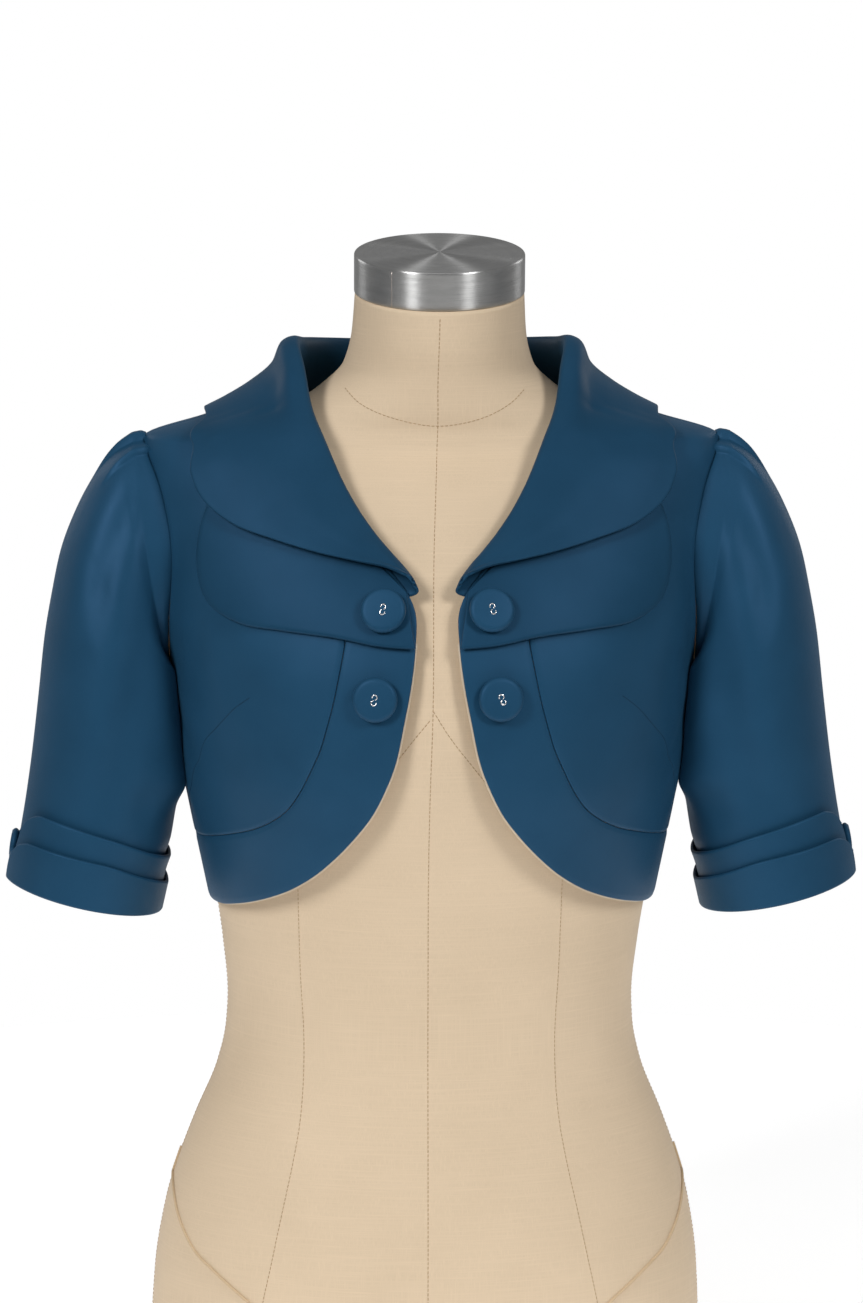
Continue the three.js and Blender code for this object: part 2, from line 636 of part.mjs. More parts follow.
// Sleeve: one tube, with closer columns over the head where its tucks are
function sleeve() {
  const heights = [0, 26, 60, 98, 140, 180, 215, 243, 264, 281, 294, SLEEVE_TOP];
  const turns = [];
  for (let degrees = -44; degrees <= 44; degrees += 4.4) turns.push(degrees);
  for (let degrees = 58; degrees < 310; degrees += 14) turns.push(degrees);
  const grid = heights.map((up) => turns.map((degrees) => sleevePoint(-radians(degrees), up)));
  return wall(grid, PANEL_WALL, { ring: true });
}

// One tier of a turned-back cuff, from the notch round to the notch, with rounded corners.
// Its columns are closer together towards the two ends.
const MM_PER_DEGREE = 0.87;
function cuffTier(tier) {
  const { bottom, liftBottom, liftTop, open } = CUFF_TIERS[tier];
  const begin = NOTCH.back + 360;
  const end = NOTCH.front;
  const grid = steps(CUFF_ROWS).map((v) => steps(CUFF_COLUMNS).map((share) => {
    const even = 2 * share - 1;
    const u = (even * (1.45 - 0.45 * even * even) + 1) / 2;
    const nominal = lerp(begin, end, u);
    const around = Math.abs(((nominal + 180) % 360) - 180);
    const top = read(CUFF_TOPS, 'turn', tier, around);
    const fromEnd = Math.min(begin - nominal, nominal - end) * MM_PER_DEGREE;
    const short = Math.max(0, CUFF_CORNER - fromEnd);
    const round = CUFF_CORNER - Math.sqrt(CUFF_CORNER ** 2 - short ** 2);
    const height = lerp(bottom, top - round, v);
    const spread = open * (height / top) ** 1.5;
    const degrees = lerp(begin - spread, end + spread, u);
    return sleevePoint(radians(degrees), height, lerp(liftBottom, liftTop, v));
  }));
  return wall(grid, CUFF_WALL);
}

// A covered button: a low dome with a rounded rim, its base at the origin
function buttonShape({ radius, height }) {
  const rim = 0.3 * height;
  const profile = [
    [0, 0], [radius - 1.5, 0], [radius, rim], [radius - 0.4, 0.62 * height],
    [radius - 2.2, 0.88 * height], [0.5 * radius, height], [0, height],
  ].map(([r, y]) => new THREE.Vector2(r, y));
  return new THREE.LatheGeometry(profile, 16);
}

function welded(geometry) {
  const bare = geometry.clone();
  bare.deleteAttribute('normal');
  bare.deleteAttribute('uv');
  return mergeVertices(bare);
}

// Dress form: a filled body of rings, closed flat below and on its sloping neck
function dressForm() {
  const columns = 36;
  const heights = [
    0, 6, 50, 100, 140, 174, 206, 238, 264, 286, 318, 350, 390, 430,
    466, 500, 538, 574, 602, 622, 636, 646, 656, 666, 678, 694, 712, NECK_TOP,
  ];
  const positions = [];
  const index = [];
  for (const z of heights) {
    const value = (column) => read(FORM, 'z', column, z);
    const lean = lerp(LEAN.foot, LEAN.neck, z / NECK_TOP);
    for (let i = 0; i < columns; i += 1) {
      const angle = (i / columns) * 2 * Math.PI;
      const deep = Math.cos(angle) >= 0 ? value('front') : value('back');
      const y = -deep * Math.cos(angle);
      const x = lean + value('half') * Math.sin(angle);
      positions.push(x, value('mid') + y, z + value('slope') * y);
    }
  }
  const rings = heights.length;
  const at = (j, i) => j * columns + (i % columns);
  for (let j = 0; j < rings - 1; j += 1) {
    for (let i = 0; i < columns; i += 1) {
      index.push(at(j, i), at(j, i + 1), at(j + 1, i + 1));
      index.push(at(j, i), at(j + 1, i + 1), at(j + 1, i));
    }
  }
  for (const [ring, z, facesUp] of [[0, 0, false], [rings - 1, NECK_TOP, true]]) {
    const centre = positions.length / 3;
    positions.push(lerp(LEAN.foot, LEAN.neck, z / NECK_TOP), read(FORM, 'z', 'mid', z), z);
    for (let i = 0; i < columns; i += 1) {
      index.push(centre, at(ring, facesUp ? i : i + 1), at(ring, facesUp ? i + 1 : i));
    }
  }
  return solid(positions, index);
}

// Cap on the neck: a low drum with a softened top edge
function neckCap() {
  const { radius, height, rim } = CAP;
  const profile = [
    [0, 0], [radius - 0.6, 0], [radius, 0.6], [radius, height - rim],
    [radius - 0.4 * rim, height - 0.35 * rim], [radius - rim, height], [0, height],
  ].map(([r, y]) => new THREE.Vector2(r, y));
  return new THREE.LatheGeometry(profile, 40);
}

const jacketOnForm = new THREE.Group();

function add(name, geometry, material) {
  const mesh = new THREE.Mesh(welded(geometry), material);
  mesh.name = name;
  jacketOnForm.add(mesh);
  return mesh;
}

function addPair(name, geometry, material) {
  add(`${name}_left`, geometry, material);
  add(`${name}_right`, mirrored(geometry), material);
}

// Places a lathed piece with its base at a point and its axis along a direction
function seat(mesh, point, direction) {
  mesh.position.copy(point);
  mesh.quaternion.setFromUnitVectors(vector(0, 1, 0), direction);
}

// A button on the left at a point of the cloth, and its mirror image on the right
function addButtons(name, shape, point, direction) {
  const flip = vector(-1, 1, 1);
  const left = add(`${name}_left`, buttonShape(shape), CLOTH_MATERIAL);
  const right = add(`${name}_right`, buttonShape(shape), CLOTH_MATERIAL);
  seat(left, point, direction);
  seat(right, point.clone().multiply(flip), direction.clone().multiply(flip));
}

// Where each button sits on the left side, and how far its base stands off the cloth
const FRONT_BUTTONS = [
  { name: 'button_top', x: 32.5, z: 548, lift: 3.9 },
  { name: 'button_second', x: 38, z: 496.5, lift: 0.3 },
];
const CUFF_BUTTON_PLACE = { turn: 0, up: 19, lift: 0.3 };

add('dress_form', dressForm(), LINEN_MATERIAL);

const cap = add('neck_cap', neckCap(), STEEL_MATERIAL);
const capAxis = vector(0, -Math.sin(radians(CAP.tilt)), Math.cos(radians(CAP.tilt)));
seat(cap, vector(CAP.x, CAP.y, CAP.topZ).addScaledVector(capAxis, -CAP.height), capAxis);

add('back', backPanel(), CLOTH_MATERIAL);
add('hem_band_back', backBand(), CLOTH_MATERIAL);
addPair('front_panel', frontPanel(), CLOTH_MATERIAL);
addPair('front_band', frontBand(), CLOTH_MATERIAL);
addPair('lining_edge', liningStrip(), LINING_MATERIAL);
addPair('lower_lapel', lowerLapel(), CLOTH_MATERIAL);
add('collar', collar(), CLOTH_MATERIAL);
addPair('sleeve', sleeve(), CLOTH_MATERIAL);
addPair('cuff_upper', cuffTier('upper'), CLOTH_MATERIAL);
addPair('cuff_lower', cuffTier('lower'), CLOTH_MATERIAL);

for (const { name, x, z, lift } of FRONT_BUTTONS) {
  const angle = angleAt(x, z);
  addButtons(name, FRONT_BUTTON, onJacket(angle, z, lift), jacketNormal(angle, z));
}

const { turn, up, lift } = CUFF_BUTTON_PLACE;
const seatPoint = sleevePoint(turn, up, lift);
const outward = sleevePoint(turn, up, lift + 1).sub(seatPoint).normalize();
addButtons('cuff_button', CUFF_BUTTON, seatPoint, outward);

export default jacketOnForm;
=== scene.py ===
# Looks of a cropped jacket on a limbless dress form.
# Lengths are millimetres and angles degrees until a mesh is made, which is in metres.
# +Z is up, the front faces -Y, the wearer's left is +X.
import math

import bpy
import numpy as np
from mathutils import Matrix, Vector

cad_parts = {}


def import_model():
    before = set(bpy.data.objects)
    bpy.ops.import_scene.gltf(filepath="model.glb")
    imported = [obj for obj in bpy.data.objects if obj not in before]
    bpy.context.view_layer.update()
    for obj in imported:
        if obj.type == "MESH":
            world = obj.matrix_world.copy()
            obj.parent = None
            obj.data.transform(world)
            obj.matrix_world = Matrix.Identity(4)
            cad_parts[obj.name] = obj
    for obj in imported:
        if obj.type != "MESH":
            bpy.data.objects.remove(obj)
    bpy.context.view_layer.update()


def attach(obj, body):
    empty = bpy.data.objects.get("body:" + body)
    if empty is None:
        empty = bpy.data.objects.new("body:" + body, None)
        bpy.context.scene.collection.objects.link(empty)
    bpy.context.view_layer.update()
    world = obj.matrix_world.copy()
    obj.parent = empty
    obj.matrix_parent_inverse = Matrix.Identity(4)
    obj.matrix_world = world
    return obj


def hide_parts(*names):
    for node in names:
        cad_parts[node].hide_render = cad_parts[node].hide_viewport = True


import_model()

MM = 0.001


# Rows of a table with named columns
def named(columns, rows):
    return [dict(zip(columns.split(), row)) for row in rows]


# Cloth and seams, as the solids have them
SEAM_GAP = 0.3
PANEL_WALL = 1.4
FACED_WALL = 2.0
CUFF_WALL = 2.4
LINING_WALL = 1.0
LINING_SHOWS = 0.8
LINING_WIDTH = 14
LINING_BEHIND = 1.2

# Heights of the garment's main lines
HEM_SIDE = 348.5
HEM_BACK = 346
BAND_TOP_SIDE = 391
BAND_TOP_BACK = 388
UNDERARM = 497
SHOULDER_TIP = 644
NECK_POINT = 674.5
NECK_BACK = 664
PANEL_CORNER = 7

ARMHOLE_FRONT = 25.5
ARMHOLE_BACK = 27
SIDE_SHARE = 0.34
ARMHOLE_SHARE = 0.84

COLLAR_LEG = -2.75
COLLAR_NEAR = 5.2
LAPEL_NEAR = 2.5
LAPEL_EDGE = 4.6
ROLL_REACH = 6
ROLL_RADIUS = 3.1

CUFF_CORNER = 13
NOTCH = dict(front=13.5, back=-13)
MM_PER_DEGREE = 0.87
CUFF_TIERS = {
    "upper": dict(bottom=4, lift_bottom=3.15, lift_top=3.9, open=20),
    "lower": dict(bottom=0, lift_bottom=6.05, lift_top=6.9, open=15),
}

CAP = dict(radius=53.8, height=24.5, tilt=9, x=5, y=-4, top_z=759.6)
LEAN = dict(foot=-5, neck=5)
NECK_TOP = 734.65

# Body of the jacket: height, half width, depth in front and behind the axis
JACKET = dict(
    z=[330, 348, 380, 410, 440, 470, 500, 540, 580, 610, 630, 644, 656, 664, 676, 690],
    half=[139.5, 143, 149.5, 155.5, 161, 163.8, 167.3, 175.5, 180.5, 184, 185, 182, 147, 122, 97, 86],
    front=[112, 115, 119, 124, 129, 131, 129, 118, 100, 83, 70, 59, 51, 46, 40, 36],
    back=[86, 87.5, 91, 96, 101, 105, 109, 111, 109, 102, 94, 87, 80, 75, 68, 62],
)

# Dress form: the same, with the middle of each ring and its slope to the front
FORM = dict(
    z=[0, 6, 60, 103, 148, 174, 204, 239, 264, 283, 321, 345, 380, 440, 470, 500, 540, 580,
       610, 630, 642, 652, 662, 674, 690, 710, NECK_TOP],
    half=[172, 175, 178, 176, 169, 161.5, 150.5, 136.3, 131, 130, 133.5, 137, 143, 153.5, 156.5,
          159.5, 164, 166, 166, 162, 144, 118, 95, 76, 60, 55, 53.3],
    front=[98, 100, 102, 102, 99, 96, 92, 87, 85, 85, 89.5, 94, 102, 117, 121, 119, 107, 88,
           71, 57, 49, 48, 50, 51, 52, 53, 53.3],
    back=[112, 115, 119, 119, 112, 105, 96, 86, 81, 79, 79.5, 81, 85, 94, 98, 101.5, 103, 100,
          92, 82, 75, 68, 60, 56, 55, 54, 53.3],
    mid=[0] * 19 + [1, 2, 3, 4, 4, 3, 0, -3],
    slope=[0] * 21 + [0.02, 0.04, 0.06, 0.08, 0.13, 0.158],
)

# Lines on the left front as (x, z), from the side seam upwards
FRONT_EDGE = [
    (143.2, 348.5), (135, 350), (126, 353.5), (115, 358), (103, 363.5), (91, 370), (76.5, 380.5),
    (62.5, 394), (50.5, 408), (40.5, 422), (32, 439.5), (26, 456), (20.5, 482), (16, 506),
    (13.2, 530), (13, 547), (17, 558), (27, 571), (40, 585), (50, 598),
]
BAND_SEAM = [
    (151.7, 391), (146, 393.5), (138, 397), (127, 401.5), (114, 407), (102.5, 414), (93, 422.5),
    (85, 435), (77.5, 451), (72.5, 463), (69, 475), (64.5, 492), (60.5, 511), (57, 529),
    (55, 545), (54, 560), (53.5, 573), (54, 586), (55, 595), (56, 602),
]
NECK_EDGE = [(65.5, 620.5), (79, 641.5), (91, 656), (97.5, 667), (99.7, 674.4)]
LAPEL_TUCK = [(82, 636), (69, 611), (57, 594), (46, 582), (33, 573.5), (19.5, 560.5)]
LAPEL_FREE = [
    (138, 612), (144, 594), (145.5, 570), (139, 548.5), (121, 538), (95, 535), (62, 532),
    (36, 527.5), (14.5, 526),
]
BUST_DART = [
    (116, 492), (125, 484), (136, 470), (144, 459), (148, 446), (151, 439), (153, 424), (154, 417),
]

# Half of the collar from the middle of the back to its break: seam turn and height,
# roll line x, y, z, the outer edge's turn, height and lift, and how far the fall bows out
COLLAR = [
    (180, 664, 0, 79, 694, 180, 618, 7, 0),
    (164.5, 665, 31, 75, 695.5, 165.5, 620, 5.5, 0),
    (146, 668, 59, 58, 698, 150, 631, 3.6, -2),
    (122, 673, 79, 30, 701, 126, 649, 2.9, -4),
    (90, 676, 86, 0, 703.5, 96, 657.5, 2.9, -5),
    (60, 669, 82.5, -22, 690, 68, 654.5, 2.9, -5),
    (38, 657, 77.5, -42, 666, 54.2, 643, 5, -3),
    (26, 640, 69, -58, 646, 52.6, 624, 7.4, 1),
    (22.3, 618, 58.5, -73, 623, 49, 608.5, 7.6, 2.4),
    (18.8, 601, 48.5, -84, 606, 41.2, 595, 7.6, 2.4),
    (15.4, 586, 38, -93, 592, 32, 587, 7.6, 2.4),
    (12.2, 575, 28.5, -100.5, 581.5, 22.8, 580, 7.6, 2.4),
    (10, 568, 21, -105, 573.5, 15.5, 575.5, 7.6, 2.4),
    (8.4, 562, 15.5, -108.5, 566, 9.9, 572, 7.6, 2.4),
    (7.8, 558, 13, -110.5, 560.5, 6.7, 568, 7.6, 2.4),
]

# Left sleeve: distance above the hem, outermost and innermost points, depth in front and behind
SLEEVE = dict(
    up=[0, 26, 50, 80, 118, 156, 184, 212, 242, 266, 286, 300],
    out_x=[267.5, 263.5, 259.5, 255, 250.3, 246, 241, 235, 224, 212, 199, 188],
    out_z=[363, 389, 412, 442, 480, 517, 545, 572, 600, 621, 636, 643],
    in_x=[178.6, 174, 166.6, 163.4, 160.6, 161.8, 163.2, 164.3, 165.4, 166.6, 167.6, 168.4],
    in_z=[341, 365, 388, 410, 425, 437, 449, 460, 470, 479, 486, 492],
    front=[50, 51, 52.5, 54, 55.5, 56, 56, 55, 53, 50, 46, 41],
    back=[52, 53, 54.5, 57, 59, 60, 60, 59, 57, 54, 51, 48],
)
SLEEVE_TOP = 308
HEAD_GAP = -1.1
HEAD_DIP = 1.3

# How the sleeve's inner side lies against the body
PRESS = dict(depth=10, at=145, width=24, start=50, full=110, fade=268, to=306, clear=0.6)

# Tucks at the sleeve head: place round the sleeve, width, rise and length
TUCKS = named("at width rise length", [
    (9, 13, 3.2, 34),
    (27, 14, 2.8, 28),
    (-11, 13, 3.0, 32),
    (-30, 14, 2.6, 27),
])
TUCK_STRENGTH = 1.5
TUCK_DROP = 0.14
TUCK_REACH = 1.6

# Height of each cuff tier's top edge above the hem, by the place round the sleeve
CUFF_TOPS = dict(turn=[0, 45, 90, 135, 180], upper=[47, 48, 46, 40, 36], lower=[26, 29, 30, 24, 18])


# Reads one column of a table smoothly, without overshooting between its rows
def read(table, along, column, at):
    x = np.asarray(table[along], float)
    y = np.asarray(table[column], float)
    at = np.asarray(at, float)
    rise = np.diff(y) / np.diff(x)
    slope = np.concatenate([rise[:1], np.zeros(len(x) - 2), rise[-1:]])
    before, after = rise[:-1], rise[1:]
    bends = before * after > 0
    slope[1:-1][bends] = (2 * before * after)[bends] / (before + after)[bends]
    row = np.clip(np.searchsorted(x, at, side="right") - 1, 0, len(x) - 2)
    step = x[row + 1] - x[row]
    t = np.clip((at - x[row]) / step, 0, 1)
    return (
        (2 * t**3 - 3 * t**2 + 1) * y[row]
        + (t**3 - 2 * t**2 + t) * slope[row] * step
        + (3 * t**2 - 2 * t**3) * y[row + 1]
        + (t**3 - t**2) * slope[row + 1] * step
    )


def jacket(column, z):
    return read(JACKET, "z", column, z)


def jacket_depth(in_front, z):
    return np.where(in_front, jacket("front", z), jacket("back", z))


def form(column, z):
    return read(FORM, "z", column, z)


def sleeve(column, up):
    return read(SLEEVE, "up", column, up)


def sine_cosine(degrees):
    return np.sin(np.radians(degrees)), np.cos(np.radians(degrees))


# A smooth line through points, read at shares of its stretches
def line_through(points, shares):
    points = np.asarray(points, float)
    first, last = 2 * points[0] - points[1], 2 * points[-1] - points[-2]
    padded = np.vstack([first, points, last])
    place = np.clip(shares, 0, 1) * (len(points) - 1)
    row = np.minimum(place.astype(int), len(points) - 2)
    t = (place - row)[:, None]
    p0, p1, p2, p3 = (padded[row + k] for k in range(4))
    d0, d1, d2 = (
        np.maximum(np.linalg.norm(b - a, axis=1), 1e-8)[:, None] ** 0.5
        for a, b in ((p0, p1), (p1, p2), (p2, p3))
    )
    t1 = ((p1 - p0) / d0 - (p2 - p0) / (d0 + d1) + (p2 - p1) / d1) * d1
    t2 = ((p2 - p1) / d1 - (p3 - p1) / (d1 + d2) + (p3 - p2) / d2) * d1
    return p1 + t1 * t + (3 * (p2 - p1) - 2 * t1 - t2) * t**2 + (2 * (p1 - p2) + t1 + t2) * t**3


def unit(vectors):
    return vectors / np.maximum(np.linalg.norm(vectors, axis=-1, keepdims=True), 1e-12)


def smooth(share):
    share = np.clip(share, 0, 1)
    return share * share * (3 - 2 * share)


# Outward direction of the jacket's body at a turn round it, 0 at the front, and a height
def jacket_normal(turn, z):
    s, c = sine_cosine(turn)
    half, front = jacket("half", z), c >= 0
    deep = jacket_depth(front, z)

    def rate(column):
        return jacket(column, z + 0.5) - jacket(column, z - 0.5)

    deep_rate = np.where(front, rate("front"), rate("back"))
    return unit(
        np.stack([deep * s, -half * c, -half * deep_rate * c * c - deep * rate("half") * s * s], -1)
    )


def on_jacket(turn, z, lift=0.0):
    turn, z = np.broadcast_arrays(np.asarray(turn, float), np.asarray(z, float))
    s, c = sine_cosine(turn)
    point = np.stack([jacket("half", z) * s, -jacket_depth(c >= 0, z) * c, z], -1)
    return point + jacket_normal(turn, z) * np.asarray(lift, float)[..., None]


def turn_at(x, z):
    return np.degrees(np.arcsin(np.clip(x / jacket("half", z), -1, 1)))


# Raises points until they are at least lift outside the jacket's body
def raised(points, lift):
    x, y, z = points[..., 0], points[..., 1], points[..., 2]
    turn = np.degrees(np.arctan2(x / jacket("half", z), -y / jacket_depth(y < 0, z)))
    normal = jacket_normal(turn, z)
    height = ((points - on_jacket(turn, z)) * normal).sum(-1)
    return points + normal * np.maximum(0, lift - height)[..., None]


# The armhole's edge on the left of the body; 0 is the shoulder tip, 90 the front
def armhole(around):
    s, c = sine_cosine(around)
    z = UNDERARM + (SHOULDER_TIP - UNDERARM) * (1 + c) / 2
    bite = np.where(
        s >= 0, -ARMHOLE_FRONT * s * (0.9 + 0.28 * c), -ARMHOLE_BACK * s * (0.95 + 0.1 * c)
    )
    return 90 + bite, z


# Side seam, armhole and shoulder seam of a left panel, from the bottom up
def outer_boundary(v, bottom, top, front):
    share = np.clip((v - SIDE_SHARE) / (ARMHOLE_SHARE - SIDE_SHARE), 0, 1)
    turn, z = armhole((1 if front else -1) * 180 * (1 - share))
    low, high = v <= SIDE_SHARE, v > ARMHOLE_SHARE
    turn = np.where(low | high, 90.0, turn)
    z = np.where(low, bottom + (UNDERARM - bottom) * v / SIDE_SHARE, z)
    shoulder = SHOULDER_TIP + (top - SHOULDER_TIP) * (v - ARMHOLE_SHARE) / (1 - ARMHOLE_SHARE)
    return turn, np.where(high, shoulder, z)


# Soft troughs (-) and ridges (+) in the body's cloth, by where they run from and to.
# On the right each is mirrored, and a little weaker or stronger.
BODY_FOLDS = named("turn0 z0 turn1 z1 width depth right", [
    (62, 585, 74, 500, 11, -1.6, 0.8),
    (54, 560, 58, 480, 13, 0.9, 1.1),
    (50, 520, 34, 455, 16, -0.7, 1.2),
    (86, 492, 66, 440, 9, -1.0, 0.9),
    (88, 470, 74, 405, 8, 0.7, 1.1),
    (24, 520, 22, 430, 14, -0.5, 0.7),
    (118, 560, 104, 492, 11, -1.8, 1.1),
    (128, 600, 122, 500, 15, 1.0, 0.8),
    (140, 560, 150, 440, 20, -1.0, 0.9),
    (95, 488, 118, 430, 10, -1.1, 1.2),
    (168, 600, 172, 420, 26, -0.8, 1.0),
    (110, 440, 126, 395, 12, 0.7, 1.1),
])
MEAN_RADIUS = 150


# Height of the folds at places on the body; side is 1 on the left and -1 on the right
def body_folds(turn, z):
    turn = (np.asarray(turn, float) + 180) % 360 - 180
    side = np.where(turn >= 0, 1.0, -1.0)
    arc = np.radians(np.abs(turn)) * MEAN_RADIUS
    total = np.zeros(np.broadcast(turn, z).shape)
    for fold in BODY_FOLDS:
        a = np.array([math.radians(fold["turn0"]) * MEAN_RADIUS, fold["z0"]])
        b = np.array([math.radians(fold["turn1"]) * MEAN_RADIUS, fold["z1"]])
        length = np.linalg.norm(b - a)
        along = ((arc - a[0]) * (b - a)[0] + (z - a[1]) * (b - a)[1]) / length
        across = ((arc - a[0]) * (b - a)[1] - (z - a[1]) * (b - a)[0]) / length
        share = along / length
        strength = np.exp(-((across / fold["width"]) ** 2))
        strength = strength * smooth((share + 0.35) / 0.5) * smooth((1.35 - share) / 0.6)
        total += fold["depth"] * strength * np.where(side > 0, 1.0, fold["right"])
    return total


# Tucks at the sleeve head: each a soft ridge that drops sharply on its outer side
def tuck_rise(turn, up):
    total = np.zeros(np.broadcast(turn, up).shape)
    for tuck in TUCKS:
        away = (turn - tuck["at"] + 180) % 360 - 180
        share = away * np.sign(tuck["at"]) / tuck["width"]
        shape = np.where(share < 0, smooth(1 + share), smooth(1 - share / TUCK_DROP))
        fade = smooth(np.maximum(0, 1 - (SLEEVE_TOP - up) / (tuck["length"] * TUCK_REACH)))
        total += np.where((share < -1) | (share > TUCK_DROP), 0, tuck["rise"] * shape * fade)
    return TUCK_STRENGTH * total


# Soft folds down the sleeve: where they start and end, width round it in degrees, and depth
SLEEVE_FOLDS = named("turn0 up0 turn1 up1 width depth", [
    (120, 240, 100, 70, 13, -2.2),
    (95, 250, 78, 90, 14, 1.2),
    (140, 170, 128, 40, 12, -1.6),
    (64, 294, 72, 215, 13, -2.8),
    (18, 296, 24, 190, 10, 0.9),
    (-14, 296, -24, 170, 11, 0.9),
    (-60, 290, -70, 190, 14, -2.2),
    (-115, 250, -104, 80, 14, -2.0),
    (-140, 180, -128, 50, 12, -1.5),
    (176, 290, 170, 230, 16, -2.0),
])


def sleeve_folds(turn, up):
    turn = (np.asarray(turn, float) + 180) % 360 - 180
    total = np.zeros(np.broadcast(turn, up).shape)
    for fold in SLEEVE_FOLDS:
        share = (fold["up0"] - up) / (fold["up0"] - fold["up1"])
        middle = fold["turn0"] + (fold["turn1"] - fold["turn0"]) * share
        away = (turn - middle + 180) % 360 - 180
        strength = np.exp(-((away / fold["width"]) ** 2))
        strength = strength * smooth((share + 0.25) / 0.5) * smooth((1.3 - share) / 0.6)
        total += fold["depth"] * strength
    keep = smooth((up - 46) / 30) * smooth((SLEEVE_TOP - 4 - up) / 14)
    return total * keep


# Presses points of the sleeve's inner side in until they lie against the body's front
def pressed(points, turn, up):
    x, y, z = points[..., 0], points[..., 1], points[..., 2]
    away = (turn - PRESS["at"] + 180) % 360 - 180
    starts = smooth((up - PRESS["start"]) / (PRESS["full"] - PRESS["start"]))
    ends = smooth((up - PRESS["fade"]) / (PRESS["to"] - PRESS["fade"]))
    push = PRESS["depth"] * np.exp(-((away / PRESS["width"]) ** 2)) * starts * (1 - ends)
    forward = np.clip(-y / jacket("front", z), 0, 1)
    body = jacket("half", z) * np.sqrt(1 - forward**2)
    return np.stack([np.maximum(x - push, np.minimum(x, body + PRESS["clear"])), y, z], -1)


# Point on the left sleeve; turn 0 is its outer side, 90 the front
def on_sleeve(turn, up):
    turn, up = np.broadcast_arrays(np.asarray(turn, float), np.asarray(up, float))
    s, c = sine_cosine(turn)
    top = SLEEVE["up"][-1]
    low = np.minimum(up, top)
    out_x, in_x, out_z, in_z = (sleeve(column, low) for column in ("out_x", "in_x", "out_z", "in_z"))
    share = (1 + c) / 2
    y = -np.where(s >= 0, sleeve("front", low), sleeve("back", low)) * s
    ring = np.stack([in_x + (out_x - in_x) * share, y, in_z + (out_z - in_z) * share], -1)
    ring = pressed(ring, turn, low)
    seam = on_jacket(*armhole(turn)) + np.array([HEAD_GAP, 0, 0])
    near = np.clip((up - top) / (SLEEVE_TOP - top), 0, 1)[..., None]
    return ring + (seam - ring) * near


def sleeve_normal(turn, up):
    across = on_sleeve(turn - 1.2, up) - on_sleeve(turn + 1.2, up)
    along = on_sleeve(turn, up + 1) - on_sleeve(turn, up - 1)
    return unit(np.cross(across, along))


# Places a mesh made of points and faces, with two materials where inside faces are told apart
def new_object(name, points, faces, uv=None, inside_from=None):
    mesh = bpy.data.meshes.new(name)
    mesh.from_pydata([tuple(p) for p in np.asarray(points) * MM], [], faces)
    mesh.polygons.foreach_set("use_smooth", [True] * len(mesh.polygons))
    if uv is not None:
        corners = np.zeros(len(mesh.loops), np.int32)
        mesh.loops.foreach_get("vertex_index", corners)
        layer = mesh.uv_layers.new(name="cloth")
        layer.data.foreach_set("uv", (np.asarray(uv)[corners] * MM).ravel())
    if inside_from is not None:
        index = np.zeros(len(mesh.polygons), np.int32)
        index[inside_from:] = 1
        mesh.polygons.foreach_set("material_index", index)
    mesh.update()
    obj = bpy.data.objects.new(name, mesh)
    bpy.context.scene.collection.objects.link(obj)
    return obj


# Quads between rings of points, with both ends closed; inward turns them over
def skin(rings, sides, inward=False):
    index = np.arange(rings * sides).reshape(rings, sides)
    beside = np.roll(index, -1, axis=1)
    corners = [index[:-1], beside[:-1], beside[1:], index[1:]]
    ends = [index[0, ::-1], index[-1]]
    if inward:
        corners = [corners[k] for k in (0, 3, 2, 1)]
        ends = [end[::-1] for end in ends]
    return np.stack(corners, -1).reshape(-1, 4).tolist() + [end.tolist() for end in ends]


# Directions that lead out of a grid at its border
def outwards(grid, ring):
    out = np.zeros_like(grid)
    out[0] += unit(grid[0] - grid[1])
    out[-1] += unit(grid[-1] - grid[-2])
    if not ring:
        out[:, 0] += unit(grid[:, 0] - grid[:, 1])
        out[:, -1] += unit(grid[:, -1] - grid[:, -2])
    return unit(out).reshape(-1, 3)


RIM_STEPS = 4


